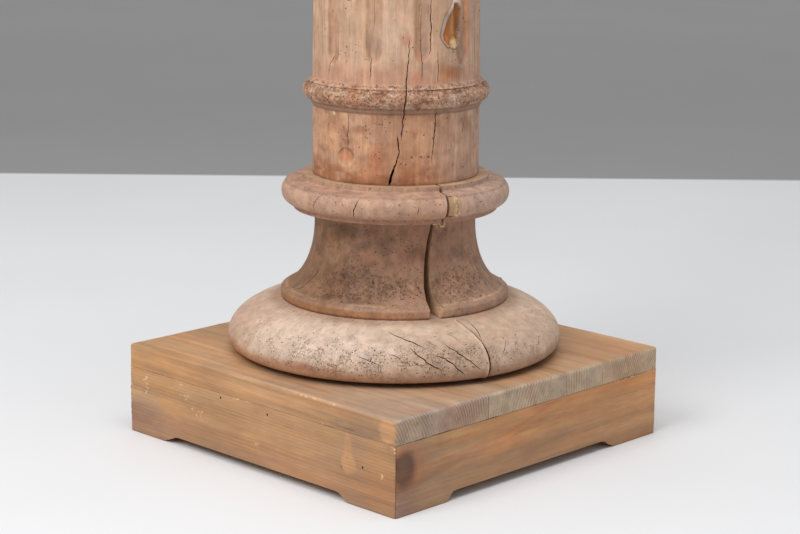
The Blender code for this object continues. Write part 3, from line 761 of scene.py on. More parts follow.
torus_cracks = cracks_of(
    torus_profile,
    20,
    [
        ([(-3.5, 162), (1, 158.5), (4, 156), (7, 153.5), (11, 148)], (0.5, 1.2, 1.5, 1.0), 6, 0.5),
        ([(5.5, 149), (8, 143), (10, 138), (12.5, 131), (15.5, 127.5)], (0.8, 1.5, 1.6, 0.7), 6,
            0.5),
        ([(13.5, 142.5), (17, 138), (20.5, 129), (24, 118)], (0.7, 1.5, 1.4, 0.8), 6, 0.5),
        ([(17.5, 153.5), (20, 147), (23, 140), (26, 133), (29.5, 122)], (0.6, 1.3, 1.3, 0.8), 6,
            0.5),
        ([(-13, 141.5), (-9, 138), (-6.5, 135), (-3.5, 131.5)], (0.5, 1.0, 0.9, 0.4), 4, 0.6),
        ([(-2.5, 145), (0, 142.5), (2.5, 139)], (0.4, 0.9, 0.4), 4, 0.6),
        ([(2.5, 137), (4, 135.5), (5.5, 134)], (0.4, 0.8, 0.4), 3, 0.5),
        ([(5.8, 136.2), (8, 133), (9.5, 130.5)], (0.4, 0.9, 0.4), 3, 0.5),
        ([(7.2, 152), (7.4, 147), (6.6, 143)], (0.7, 0.6, 0.3), 3, 0.5),
        ([(11.5, 155), (14, 151), (16, 147)], (0.3, 0.5, 0.3), 3, 0.5),
        ([(20, 161), (23, 155), (25, 150)], (0.3, 0.6, 0.3), 3, 0.4),
        ([(43, 148), (41.5, 143), (38.5, 135)], (0.4, 0.7, 0.4), 3, 0.8),
        ([(48.5, 145), (46, 141), (45, 137)], (0.3, 0.6, 0.3), 3, 0.8),
        ([(62, 143), (60, 139), (56, 132)], (0.3, 0.7, 0.3), 3, 0.8),
        ([(-31, 136), (-29, 135), (-27, 134)], (0.3, 0.7, 0.3), 3, 0.6),
        ([(-22, 131), (-19, 129.5), (-17, 127)], (0.3, 0.6, 0.3), 3, 0.6),
        ([(118, 160), (121, 150), (119, 138), (122, 124)], (0.5, 1.3, 1.2, 0.5), 5, 0.8),
        ([(-140, 158), (-137, 147), (-138, 135)], (0.5, 1.1, 0.5), 5, 0.8),
        ([(168, 150), (172, 141), (171, 130)], (0.4, 0.9, 0.4), 5, 0.8),
    ],
)
cut_cracks(torus, [seam, second_seam, *torus_cracks], DARK_SPLIT)
coat = Coat(torus, Turned, colour(208, 180, 157))
place, dirt_and_shade, holes, wash, mm, deg, spot, patch = coat.tools()
points = place.points
coat.over(0.55 * patch(0.05, 31, -0.5, 0.6), 216, 190, 170)
coat.over(0.5 * patch(0.022, 32, 0.1, 0.7), 188, 158, 136)
coat.over(0.6 * spot(-24, 148, 26, 12, 0.6, 0.4, 33), 226, 200, 182)
coat.over(0.45 * spot(40, 145, 30, 22, 0.6, 0.5, 34), 176, 144, 122)
coat.over(0.5 * spot(18, 138, 16, 12, 0.6, 0.6, 35), 170, 142, 120)
coat.over(0.6 * spot(-78, 140, 22, 30, 0.5, 0.4, 39), 186, 150, 128)
coat.over(0.35 * patch((0.02, 0.02, 0.006), 46, 0.2, 0.7), 196, 146, 118)
low = place.wavering(mm, 5, (0.014, 0.014, 0.008), 36, 130, 120)
coat.over(0.7 * low * ramp(deg, 20, -30), 178, 122, 80)
coat.over(0.55 * low * ramp(deg, -25, 10), 166, 130, 106)
# Painted shade on the torus's top, just outside the flange's edge.
coat.over(0.5 * ramp(mm, 163, 167), 150, 112, 88)
coat.over(0.5 * spot(-34, 124, 6, 4, 0.6, 0.7, 37), 150, 84, 52)
far, _ = near(points, seam.path)
beside = deg - np.interp(mm, *SEAM_LINE)
# Painted highlight on the raised lip left of the seam, and painted shade right of it.
coat.over(0.7 * peak(far / MM, 2.0, 1.3) * (beside < 0), 226, 198, 168)
coat.over(0.6 * peak(far / MM, 0, 3.0) * (beside > 0), 140, 102, 76)
# Painted shade: the torus darkened at its foot, where it meets the plinth.
dirt_and_shade += 0.95 * ramp(mm, 112.0, 110.4)
dirt_and_shade += 0.35 * spot(5, 133, 24, 9, 0.7, 0.9, 41) * patch(0.008, 42, 0.1, 0.6)
holes += 0.05 + 0.55 * spot(-10, 136, 36, 16, 0.7, 0.6, 43) + 0.18 * spot(40, 133, 30, 16, 0.6)
holes += 0.15 * patch(0.03, 48, 0.1, 0.6)
wash += 0.45 * spot(-22, 143, 38, 16, 0.6, 0.5, 44) + 0.15 * patch(0.03, 45, 0, 0.5)
coat.times(1, 0.96, 0.94, 0.92)
coat.times(spot(-18, 146, 26, 22, 0.7), 0.9, 0.9, 0.9)
coat.times(1, 1.0, 1.02, 1.04)
coat.finish()

# ---- the upper ring: torus, hollow and flange, split from top to bottom ------------------------

FLANGE_TOP = 0.1795
SPLIT = 22.0
SPLIT_Z = np.array([168.3, 200, 225, 250, 276, 312.5]) * MM
SPLIT_LEFT = np.array([-11.5, -7.5, -3.4, 1.6, 8.0, 9.5]) * MM
SPLIT_RIGHT = np.array([2.3, 1.9, 3.4, 6.5, 10.5, 12.5]) * MM
NOTCH_SIDE, NOTCH_LOW, NOTCH_HIGH, NOTCH_RADIUS = 0.0228, 0.281, 0.304, 0.112
scotia_profile = soften(
    spread(
        [(0.1075, SCOTIA_HIGH.z), (0.1075, 0.3065)]
        + arc(0.12, 0.292, 0.0115, 0.0135, 78, -72, 30)
        + [(0.118, 0.2785), (0.118, 0.2725)]
        + arc(0.136, 0.257, -0.043, 0.0775, 10, -78, 60)
        + arc(0.1288, 0.1762, 0.0037, 0.0033, 78, 0, 8)
        + [(0.1325, 0.17), (0.1319, SCOTIA_LOW.z)],
        lambda z: 0.00105,
    ),
    2,
)
falling = np.concatenate([[True], np.diff(np.minimum.accumulate(scotia_profile[:, 1])) < -1e-6])
scotia_profile = scotia_profile[falling]
rows = scotia_profile[::-1]
points, faces = brick(
    cuts(0, 360, 1.9, (0, 24, 0.45), (24, 80, 0.75), (240, 336, 0.75), (336, 360, 0.45)),
    np.array([0.0, 0.35, 0.7, 0.86, 0.92, 0.96, 1.0]),
    np.arange(len(rows)),
)
turn, layer, row = points[:, 0] / 360, points[:, 1], points[:, 2].astype(int)
height = rows[row, 1]
radius = BORE + (rows[row, 0] - BORE) * layer
flange_end = abs(height - FLANGE_TOP) / np.where(height > FLANGE_TOP, 0.016, 0.0112)
corner = ramp(radius, 0.112, 0.132) * np.clip(1 - flange_end, 0, 1)
left = np.interp(height, SPLIT_Z, SPLIT_LEFT)
right = np.interp(height, SPLIT_Z, SPLIT_RIGHT) + 0.0065 * corner
torn = np.stack([0 * radius, radius, height], -1)
ragged = (0.5 * layered(torn, 0.01, 61) + 0.35 * layered(torn, 0.003, 62)) * MM
left_angle = np.degrees(np.arcsin((left - abs(ragged) * ramp(radius, 0.133, 0.11)) / radius))
right_angle = np.degrees(np.arcsin((right + abs(ragged)) / radius))
degrees = SPLIT + right_angle + turn * (360 + left_angle - right_angle)
beside = radius * np.sin(np.radians(np.clip(degrees - SPLIT, 0, 60)))
notch = (beside < NOTCH_SIDE) & (degrees < SPLIT + 60)
notch &= (height > NOTCH_LOW) & (height < NOTCH_HIGH)
radius = np.where(notch & (radius > NOTCH_RADIUS), NOTCH_RADIUS, radius)
points = round_axis(radius, degrees, height)
place = Turned(points)
mm, _, spot, patch = place.tools()
facing = normals_of(points, faces)
seen = (layer == 1) * ramp(mm, 168.4, 169.5) * ramp(mm, 312.3, 311.0)
swell = 0.28 * layered(points, 0.035, 64) + 0.1 * layered(points, (0.006, 0.006, 0.004), 65)
worn = 0.8 * patch((0.012, 0.012, 0.006), 66, 0.1, 0.7) * spot(-28, 303, 22, 5, 0.5)
groove = 0.35 * peak(mm, 303.5, 0.9) + 0.3 * peak(mm, 183.5, 1.1)
chips = 1.4 * patch(0.007, 67, 0.45, 0.8) * peak(mm, 178, 2.5)
points = points + facing * ((swell - worn - groove - chips) * seen * (~notch) * MM)[:, None]
scotia = new_piece("split_ring", points, faces, WOOD_SCOTIA, ["base_scotia_ring"])
scotia_cracks = cracks_of(
    scotia_profile,
    80,
    [
        ([(-39, 303), (-42, 297), (-44, 288), (-44, 281)], (0.4, 0.8, 0.7, 0.4), 4, 0.3),
        ([(-17.5, 304), (-19, 298), (-20.5, 289), (-21, 279.5)], (0.6, 1.2, 1.1, 1.0), 6, 0.3),
        ([(11.5, 297), (11.2, 291), (11, 284)], (0.4, 0.9, 0.5), 4, 0.3),
        ([(2.5, 289), (2.5, 284)], (0.6, 0.4), 3, 0.3),
        ([(-16, 312), (-15.8, 307)], (0.6, 0.5), 3, 0.1),
        ([(7.5, 312), (7.5, 307)], (0.8, 0.6), 3, 0.1),
        ([(-55, 212), (-58, 203), (-60, 196), (-63, 187), (-69, 180), (-70, 174)],
            (0.4, 0.8, 0.9, 1.0, 0.8, 0.5), 5, 0.4),
        ([(45.2, 296), (45.8, 294.5), (46.6, 294.6), (47.6, 295.5)], (1.6, 1.4, 1.4, 1.9), 4, 0.1),
        ([(64, 294), (66, 293.5)], (1.3, 1.3), 4, 0.1),
        ([(-8, 241.5), (-6.5, 241), (-5.2, 241.8)], (0.9, 1.1, 0.7), 2, 0.3),
        ([(-0.5, 180), (0.3, 177), (0, 172)], (0.5, 0.5, 0.4), 2, 0.2),
        ([(9, 179), (9.5, 172)], (0.4, 0.4), 2, 0.2),
        ([(150, 300), (152, 290), (151, 281)], (0.6, 1.1, 0.6), 5, 0.4),
        ([(-150, 299), (-151, 290), (-149, 281)], (0.5, 1.0, 0.5), 5, 0.4),
        ([(110, 196), (112, 188), (116, 180), (117, 172)], (0.4, 0.9, 0.9, 0.6), 5, 0.5),
    ],
)
cut_cracks(scotia, scotia_cracks, DARK_SPLIT)
coat = Coat(scotia, Turned, colour(168, 132, 110))
place, dirt_and_shade, holes, wash, mm, deg, spot, patch = coat.tools()
points = place.points
skin_radius = np.interp(points[:, 2], rows[:, 1], rows[:, 0]) / MM
inner = ramp(place.radius, skin_radius - 1.6, skin_radius - 2.6)
coat.over(0.6 * patch(0.03, 91, -0.3, 0.6), 152, 116, 95)
coat.over(0.5 * patch(0.02, 92, 0.15, 0.7), 180, 144, 122)
upper = ramp(mm, 268, 276)
coat.over(upper, 192, 156, 134)
coat.over(0.7 * upper * patch(0.022, 93, -0.1, 0.6), 204, 168, 146)
coat.over(0.5 * ramp(mm, 290, 278) * upper * patch(0.016, 94, -0.2, 0.5), 190, 138, 96)
coat.over(0.7 * ramp(mm, 192, 181), 170, 134, 112)
coat.over(0.75 * ramp(mm, 177.5, 175.5) * ramp(deg, 35, -10), 176, 122, 84)
coat.over(0.55 * spot(8.5, 229, 10, 5.5, 0.5, 0.4, 95), 180, 128, 104)
coat.over(0.45 * spot(-18, 229, 7, 9, 0.5, 0.4, 96), 168, 120, 96)
coat.over(0.5 * spot(-52, 246, 9, 7, 0.5, 0.4, 97), 178, 122, 90)
coat.over(0.55 * spot(-7, 243, 6, 10, 0.6, 0.6, 98), 112, 88, 80)
coat.over(0.5 * spot(-36, 256, 16, 9, 0.6, 0.8, 99), 112, 84, 68)
coat.over(0.5 * spot(-30, 205, 30, 20, 0.6, 0.7, 100), 126, 96, 78)
coat.over(0.5 * spot(60, 220, 30, 60, 0.5, 0.3, 101) * (1 - upper), 156, 124, 108)
# Painted shade at the flange's foot, in the gap above the torus, and a darker line in the groove at
# 303.5 mm.
dirt_and_shade += 0.6 * ramp(mm, 171.5, 169) + 0.4 * peak(mm, 303.5, 1.2)
dirt_and_shade += 0.5 * spot(-37, 256, 12, 9, 0.6, 1.2, 102) * patch(0.006, 103, 0, 0.5)
dirt_and_shade += 0.5 * spot(-44, 181, 14, 4, 0.6, 1.0, 104) * patch(0.006, 105, -0.1, 0.4)
dirt_and_shade += 0.35 * peak(mm, 306.5, 1.6) * patch(0.01, 108, -0.2, 0.3)
holes += 0.06 + 0.9 * spot(-20, 200, 36, 18, 0.6, 0.5, 106)
holes += 0.85 * spot(45, 200, 28, 18, 0.6, 0.5, 107)
holes += 0.3 * spot(-20, 245, 40, 20, 0.6, 0.5, 112) + 0.15 * upper
wash += 0.1 * upper + 0.2 * spot(0, 299, 90, 7, 0.5, 0.6, 109) + 0.2 * ramp(abs(mm - 182), 5, 1)
coat.marks *= 1 - 0.8 * inner[:, None]
hollow = ramp(mm, 272, 262) * ramp(mm, 178, 184) * (1 - inner)
coat.times(1, 0.89, 0.84, 0.8)
# The hollow darkened: partly its own darker wood, partly painted shade under the upper torus.
coat.times(0.75 * hollow, 0.8, 0.76, 0.7)
# A red-brown band under the upper torus: its own colour, darkened as painted shade.
coat.over(0.7 * ramp(mm, 282, 277) * ramp(mm, 268, 272), 160, 118, 94)
coat.over(0.45 * hollow * patch(0.014, 113, 0.0, 0.5), 98, 74, 62)
coat.over(0.35 * hollow * patch(0.016, 114, 0.1, 0.5), 160, 122, 104)
coat.over(0.4 * peak(mm, 181.6, 0.9) * patch(0.02, 115, -0.5, 0.2), 196, 158, 132)
coat.over(inner, 186, 150, 118)
coat.times(ramp(deg, 20, 50) * hollow, 1.25, 1.27, 1.3)
coat.times(ramp(deg, -15, -45) * ramp(mm, 268, 262), 0.93, 0.93, 0.83)
coat.times(ramp(mm, 225, 205) * ramp(deg, -40, -15) * (1 - inner), 1.08, 1.15, 1.18)
coat.times(ramp(deg, 15, 50) * ramp(mm, 268, 276) * (1 - inner), 1.04, 1.15, 1.28)
coat.times(ramp(deg, 25, 50) * hollow, 1.08, 1.11, 1.1)
coat.finish(50)

# ---- the shaft: a drum, a ring and a fluted column ---------------------------------------------

FLUTES, FIRST_FLUTE = 11, -15.2
FLUTE_HALF, FLUTE_DEEP, FLUTE_LOW, FLUTE_HIGH = 9.5, 5.5, 452.0, 1300.0
FLUTE_CURVE = (FLUTE_HALF**2 + FLUTE_DEEP**2) / (2 * FLUTE_DEEP)
TAPER = 0.015
SHAFT_FOOT, SHAFT_TOP = 0.4245, 1.38


def shaft_radius(z):
    return 0.0958 - TAPER * (z - SHAFT_FOOT)


def flute_side(place):
    """How far each place is from the middle of the nearest flute, in mm to its right."""
    aside = (place.degrees - FIRST_FLUTE + 180 / FLUTES) % (360 / FLUTES) - 180 / FLUTES
    return place.radius * np.radians(aside)


def flute_depth(place):
    """How deep the hollows are at a place, in mm: round-bottomed, with soft worn edges."""
    depth = np.zeros(len(place.points))
    for flute in range(FLUTES):
        aside = (place.degrees - FIRST_FLUTE - flute * 360 / FLUTES + 180) % 360 - 180
        across = place.radius * np.sin(np.radians(np.clip(aside, -40, 40)))
        low_end = FLUTE_LOW + FLUTE_HALF + 4.0 * math.sin(flute * 2.4)
        beyond = np.maximum(0, np.maximum(low_end - place.mm, place.mm - FLUTE_HIGH + FLUTE_HALF))
        far = np.hypot(across, beyond * 0.62)
        bowl = np.sqrt(np.maximum(FLUTE_CURVE**2 - np.minimum(far, FLUTE_CURVE) ** 2, 0))
        bowl = np.where(far > FLUTE_HALF, FLUTE_HALF - far, bowl - FLUTE_CURVE + FLUTE_DEEP)
        depth = np.maximum(depth, (bowl + np.sqrt(bowl**2 + 0.7)) / 2 - 0.02)
    return depth


KNOT = -35.6, 341.0
PIN_DEGREES, PIN_HEIGHT = (10.8, 16.9, 22.4), 344.3

# The bark pocket's edge, and the edge of the pale rim round it.
POCKET = [(42.0, 513), (41.0, 505), (38.0, 500), (35.0, 490), (32.8, 480), (33.0, 473), (36.5, 467)]
POCKET += [(42.0, 463.5), (46.2, 467), (46.6, 480), (48.2, 491), (48.4, 506), (46.5, 511)]
POCKET_RIM = [(44.2, 520), (40.6, 516), (38.2, 508), (34.0, 499), (31.6, 488), (30.4, 478),
    (31.6, 472.5)]
POCKET_RIM += [(36.0, 464.8), (42.2, 461.6), (47.2, 466), (47.6, 480), (49.2, 491), (49.4, 508),
    (47.6, 516)]


def pocket_edges(place):
    """How far each place is outside the pocket, and outside its rim, both ragged."""
    return [
        outside(place, edge) + 0.7 * layered(place.points, 0.006, seed)
        for edge, seed in ((POCKET, 136), (POCKET_RIM, 137))
    ]


shaft_shown = soften(
    spread(
        [(shaft_radius(SHAFT_TOP), SHAFT_TOP), (shaft_radius(1.35), 1.35)]
        + [(0.0845, 1.3455), (0.0845, 1.344)]
        + arc(0.0845, 1.3345, 0.0075, 0.0095, 90, -90, 16)
        + [(0.0875, 1.3245), (0.0875, 1.3185), (shaft_radius(1.31), 1.3085)]
        + [(shaft_radius(1.28), 1.28), (shaft_radius(0.53), 0.53)]
        + [(shaft_radius(SHAFT_FOOT), SHAFT_FOOT), (0.0985, 0.4205), (0.101, 0.4198),
            (0.0998, 0.4184)]
        + arc(0.0972, 0.41, 0.0098, 0.0082, 72, 0, 12)
        + arc(0.0972, 0.41, 0.0098, 0.0125, 0, -80, 14)[1:]
        + [(0.0974, 0.397), (0.0972, 0.3932), (0.0955, 0.3915), (0.0955, SHAFT_LOW.z + 0.2065)],
        lambda z: 0.0013 if z < 0.53 else (0.016 if z < 1.28 else 0.0028),
    ),
    1,
)
loop = [
    *[(0.0, 1.4119), (0.0053, 1.4119), (0.0053, SHAFT_HIGH.z), (0.03, SHAFT_HIGH.z),
        (0.03, SHAFT_TOP)],
    *shaft_shown,
    *[(0.03, shaft_shown[-1, 1]), (0.03, SHAFT_LOW.z), (0.0053, SHAFT_LOW.z), (0.0053, 0.169),
        (0.0, 0.169)],
]
points, faces = lathe(loop, cuts(-180, 179, 2.4, (-92, 29, 0.8), (29, 51, 0.5), (51, 92, 0.8)))
place = Turned(points)
mm, deg, spot, patch = place.tools()
out = normals_of(points, faces)
shell = ramp(place.radius, 60, 70) * ramp(mm, 313.0, 313.6) * ramp(mm, 1380, 1379)
column = ramp(mm, 422, 427) * ramp(mm, 1312, 1305)
flutes = flute_depth(place)
bead = ramp(mm, 422, 419) * ramp(mm, 397, 402)
eaten = 1.5 * patch((0.007, 0.007, 0.004), 131, -0.1, 0.7) + 0.7 * patch(0.003, 132, 0.0, 0.6)
eaten = bead * (eaten + 2.2 * patch((0.02, 0.02, 0.01), 133, 0.2, 0.7))
swell = (
    0.35 * layered(points, (0.03, 0.03, 0.09), 134) + 0.12
    * layered(points, (0.006, 0.006, 0.03), 135)
)
around, rim = pocket_edges(place)
pocket, collar = ramp(around, 0.7, -0.7), ramp(rim, 0.8, -0.8) * ramp(around, -0.6, 0.6)
lump = 3.4 * spot(35.0, 471, 4.2, 7, 0.6) + 3.6 * spot(43.0, 467.0, 3.4, 5.5, 0.6, 0.6, 139)
filled = pocket * (5.0 + 1.2 * layered(points, (0.006, 0.006, 0.02), 140) - lump)
knot = spot(*KNOT, 6.0, 10, 0.12)
knot_far = np.hypot((deg - KNOT[0]) / 6.2, (mm - KNOT[1]) / 10.2)
knot_rim = peak(knot_far, 1, 1 / 6)
dents = 0.9 * spot(10, 371, 1.5, 2.2, 0.6) + 0.7 * spot(-41, 372, 4, 6, 0.8)
dents += 0.5 * spot(22, 322, 9, 10, 0.8)
depth = (
    flutes * column * (1 - 0.8 * np.maximum(pocket, collar)) + eaten + filled - 0.7
    * np.maximum(collar, 0)
)
depth += 0.6 * knot * ramp(mm, 338, 345) + 0.35 * knot_rim * ramp(mm, 336, 345) + dents
depth -= 0.25 * knot_rim * ramp(mm, 342, 334)
points = points + out * ((swell - depth) * shell * MM)[:, None]
shaft = new_piece("fluted_column", points, faces, WOOD_TURNED, ["fluted_shaft"])
shaft_cracks = cracks_of(
    shaft_shown,
    150,
    [
        ([(8.4, 476), (8.3, 466), (8.2, 455), (7.2, 440), (6.4, 424), (5.5, 408), (5.2, 395),
            (4.6, 380), (3.6, 363)], (0.7, 0.8, 0.9, 1.1, 1.3, 1.5, 1.4, 1.2, 0.7), 9, 0.25),
        ([(0.8, 371), (1.6, 360), (2.2, 350), (0.2, 338), (-2.0, 328), (-4.4, 312)],
            (0.8, 1.3, 1.2, 1.6, 2.7, 4.0), 16, 0.25),
        ([(28.4, 462), (28.8, 445), (28.5, 424)], (0.4, 0.9, 0.6), 7, 0.3),
        ([(27, 397), (27, 380), (26.4, 365), (25.5, 350), (25, 336)], (0.9, 1.2, 1.2, 0.9, 0.4), 8,
            0.35),
        ([(-33.6, 396), (-33.2, 380), (-33.8, 368), (-33.4, 353)], (0.3, 0.7, 0.8, 0.4), 4, 0.3),
        ([(52, 380), (51.6, 372), (51, 364)], (0.5, 0.8, 0.5), 4, 0.3),
        ([(-46.5, 467), (-48.5, 455), (-50.5, 443), (-52, 428)], (0.7, 1.0, 0.9, 0.5), 6, 0.25),
        ([(-17, 458), (-17.2, 445), (-17, 429)], (0.5, 0.9, 0.5), 6, 0.3),
        ([(-16, 528), (-15.6, 500), (-16.2, 478)], (0.4, 0.7, 0.4), 8, 0.3),
        ([(17.2, 505), (17, 480), (17.4, 455), (17, 429)], (0.4, 0.8, 0.9, 0.5), 9, 0.3),
        ([(17.5, 519), (16.2, 509), (15, 499)], (0.5, 0.8, 0.4), 7, 0.3),
        ([(23, 530), (23, 505), (23.4, 480), (22.8, 456)], (0.4, 0.8, 1.0, 0.6), 8, 0.3),
        ([(-61, 500), (-60.5, 480), (-61, 465)], (0.3, 0.6, 0.3), 4, 0.3),
        ([(67, 520), (67, 480), (66.6, 440)], (0.5, 1.0, 0.6), 6, 0.3),
        ([(4, 620), (5, 560), (4.6, 530)], (0.4, 1.2, 0.5), 7, 0.4),
        ([(-30, 980), (-29, 900), (-30.4, 800), (-29.6, 700)], (0.5, 1.6, 1.6, 0.5), 9, 0.5),
        ([(40, 1270), (41, 1180), (40.4, 1060)], (0.5, 1.5, 0.5), 9, 0.5),
        ([(130, 1140), (131, 1020), (130.2, 900), (131, 760), (130, 640)],
            (0.5, 1.8, 2.4, 1.8, 0.5), 11, 0.5),
        ([(131, 600), (130, 520), (131.4, 450)], (0.5, 1.7, 1.4), 10, 0.5),
        ([(131.4, 396), (130.6, 360), (132, 330)], (1.4, 1.6, 0.6), 10, 0.5),
        ([(-120, 720), (-121, 600), (-120.4, 480)], (0.5, 1.5, 0.5), 9, 0.5),
        ([(-141, 396), (-140, 362), (-141, 320)], (0.6, 1.4, 1.6), 8, 0.5),
        ([(-165, 1240), (-164, 1120), (-165.2, 1000)], (0.5, 1.4, 0.5), 9, 0.5),
        ([(96, 560), (97, 500), (96.4, 452)], (0.5, 1.2, 0.5), 9, 0.5),
    ],
    1.1,
)
cut_cracks(shaft, shaft_cracks, DARK_SPLIT)
coat = Coat(shaft, Turned, colour(204, 166, 138))
place, dirt_and_shade, holes, wash, mm, deg, spot, patch = coat.tools()
points = place.points
coat.over(0.6 * patch((0.03, 0.03, 0.2), 201, -0.2, 0.6), 214, 180, 152)
coat.over(0.55 * patch((0.02, 0.02, 0.1), 202, 0.1, 0.7), 196, 150, 128)
coat.over(0.35 * patch((0.01, 0.01, 0.09), 203, 0.1, 0.7), 214, 188, 166)
coat.over(0.35 * patch((0.01, 0.01, 0.09), 204, 0.15, 0.7), 172, 128, 104)
coat.over(0.6 * spot(-4, 480, 12, 36, 0.6, 0.4, 205), 216, 184, 162)
coat.over(0.55 * ramp(mm, 452, 436) * ramp(mm, 418, 424), 196, 146, 124)
# Painted shade: the right side of the shaft darker, away from the key light.
coat.over(0.4 * ramp(deg, 30, 75), 178, 142, 122)
column = ramp(mm, 422, 427) * ramp(mm, 1312, 1305)
hollow = np.clip(flute_depth(place) / FLUTE_DEEP, 0, 1) * ramp(mm, 422, 428)
below_ring = ramp(mm, 1312, 1300)
hollow = hollow * below_ring
flank = hollow * (1 - hollow) * 4
coat.over(0.5 * flank * patch((0.02, 0.02, 0.05), 206, -0.5, 0.3), 196, 138, 112)
coat.over(0.55 * ramp(hollow, 0.4, 0.9) * patch((0.01, 0.01, 0.08), 207, -0.3, 0.5), 186, 138, 104)
foot = ramp(hollow, 0.15, 0.8) * ramp(mm, 492, 462)
coat.over(0.6 * foot * patch((0.005, 0.005, 0.03), 208, -0.3, 0.4), 146, 124, 112)
coat.over(0.45 * spot(6.5, 474, 3.2, 6, 0.6, 0.6, 209), 190, 118, 88)
coat.over(0.4 * spot(14.5, 432, 4, 6, 0.6, 0.6, 210), 194, 116, 90)
coat.over(0.55 * spot(34, 436, 5, 10, 0.6, 0.6, 211), 186, 122, 72)
coat.over(0.65 * spot(43, 436, 6, 8, 0.6, 0.6, 241), 170, 104, 58)
coat.over(0.5 * ramp(abs(deg - 56), 3.2, 1.6) * ramp(mm, 450, 462) * ramp(mm, 640, 560),
    196, 130, 84)
coat.over(0.5 * ramp(abs(deg - 63), 3.4, 1.6) * ramp(mm, 430, 440) * below_ring, 186, 156, 140)
coat.over(0.35 * ramp(abs(deg - 20), 4, 2) * ramp(mm, 430, 440) * ramp(mm, 560, 500), 176, 150, 140)
coat.over(0.6 * spot(48, 462, 5, 32, 0.6, 0.4, 242), 160, 130, 112)
around, rim = pocket_edges(place)
inside = ramp(around, 0.6, -0.3)
pale = ramp(rim, 0.5, -0.5) * (1 - inside)
coat.over(0.9 * pale * ramp(mm, 462, 482), 186, 168, 158)
coat.over(0.8 * pale * spot(43, 514, 6, 8, 0.3), 232, 214, 190)
coat.over(inside, 180, 112, 60)
coat.over(0.7 * inside * patch((0.005, 0.005, 0.03), 212, 0, 0.6), 206, 150, 96)
# Painted highlight: a soft pale stripe down the middle of the pocket.
coat.over(0.45 * inside * spot(42.5, 490, 2.2, 12, 0.8, 0.5, 256), 222, 182, 138)
coat.over(0.8 * inside * spot(35, 473, 4, 8, 0.5, 0.4, 213), 206, 124, 76)
coat.over(0.9 * inside * spot(43.0, 467.0, 3.6, 5.6, 0.4, 0.6, 139), 222, 194, 148)
coat.over(0.8 * inside * spot(44.5, 508, 3, 5, 0.5, 0.4, 214), 150, 96, 66)
ring_zone = ramp(mm, 396, 399) * ramp(mm, 426, 421)
coat.over(0.7 * ring_zone, 204, 164, 136)
coat.over(0.7 * ring_zone * patch(0.014, 215, -0.1, 0.5), 176, 118, 84)
coat.over(0.6 * ring_zone * patch(0.012, 216, 0.1, 0.5), 214, 182, 158)
drum = ramp(mm, 394, 390) * (place.radius > 60)
coat.over(drum * 0.85, 192, 146, 116)
coat.over(0.6 * drum * patch((0.018, 0.018, 0.02), 217, 0, 0.6) * ramp(deg, 10, -30), 206, 160, 124)
coat.over(0.5 * drum * patch((0.012, 0.012, 0.03), 218, 0, 0.6), 176, 130, 106)
coat.over(0.45 * drum * spot(-12, 375, 13, 16, 0.7, 0.5, 219), 180, 148, 130)
coat.over(0.6 * drum * patch(0.011, 243, 0.05, 0.45), 150, 106, 84)
coat.over(0.55 * drum * patch(0.013, 244, 0.1, 0.5), 212, 178, 150)
coat.over(0.5 * drum * patch(0.006, 245, 0.25, 0.6), 158, 116, 94)
coat.over(0.5 * drum * ramp(abs(deg + 2), 26, 8), 166, 122, 94)
coat.over(0.55 * drum * ramp(deg, 22, 40), 174, 142, 124)
brown = drum * place.wavering(mm, 5, (0.015, 0.015, 0.01), 220, 340, 326) * ramp(deg, 38, 15)
coat.over(0.75 * brown * patch((0.012, 0.012, 0.008), 228, -0.7, 0.2), 150, 96, 64)
coat.over(0.4 * drum * spot(-20, 325, 6, 8, 0.6, 0.6, 221), 208, 150, 118)
coat.over(0.5 * drum * spot(-14, 342, 5, 12, 0.7, 0.6, 222), 186, 112, 76)
coat.over(0.6 * drum * spot(-24, 374, 4, 4, 0.7, 0.8, 223), 150, 100, 68)
coat.over(0.5 * drum * spot(-47, 380, 5, 7, 0.7, 0.8, 224), 158, 112, 84)
knot = spot(*KNOT, 6.2, 10.2, 0.25, 0.25, 225)
coat.over(0.6 * knot * ramp(mm, 334, 341), 178, 116, 82)
coat.over(0.4 * knot * ramp(mm, 341, 334), 190, 148, 112)
knot_far = np.hypot((deg - KNOT[0]) / 6.2, (mm - KNOT[1]) / 10.2)
knot_far += 0.12 * layered(points, 0.009, 227)
knot_rim = peak(knot_far, 1, 1 / 8)
coat.over(0.7 * knot_rim * ramp(mm, 339, 346) * patch(0.008, 226, -0.6, 0.1), 104, 66, 46)
coat.over(0.5 * knot_rim * ramp(mm, 342, 335), 214, 178, 142)
coat.over(0.8 * spot(-46, 389, 1.3, 2, 0.5), 232, 214, 190)
# Painted shade: dark lines where the fillet meets the drum and under the bead.
dirt_and_shade += 0.5 * peak(mm, 392, 1.2) + 0.35 * peak(mm, 397.5, 1.0)
# A broken darker line in the groove above the bead.
dirt_and_shade += 0.5 * peak(mm, 418.3, 1.1) * patch(0.009, 237, -0.2, 0.3)
dirt_and_shade += 0.6 * patch(0.01, 231, 0.0, 0.4) * peak(mm, 417.5, 3.0)
dirt_and_shade += 0.6 * patch(0.004, 247, -0.1, 0.3) * peak(mm, 415.6, 1.8)
dirt_and_shade += 0.9 * peak(rim, 0.3, 0.8) * patch(0.01, 238, -0.7, 0.0)
dirt_and_shade += 0.6 * peak(around, 0.2, 0.5)
for degree in PIN_DEGREES:
    dirt_and_shade += 2.0 * spot(degree, PIN_HEIGHT, 0.8, 1.3, 0.5)
dirt_and_shade += 0.35 * foot * patch((0.004, 0.004, 0.02), 232, 0.1, 0.6)
dirt_and_shade += 0.45 * ramp(mm, 315.5, 313) * drum
dirt_and_shade += 0.25 * drum * spot(-47, 381, 4, 7, 0.7, 1.0, 233)
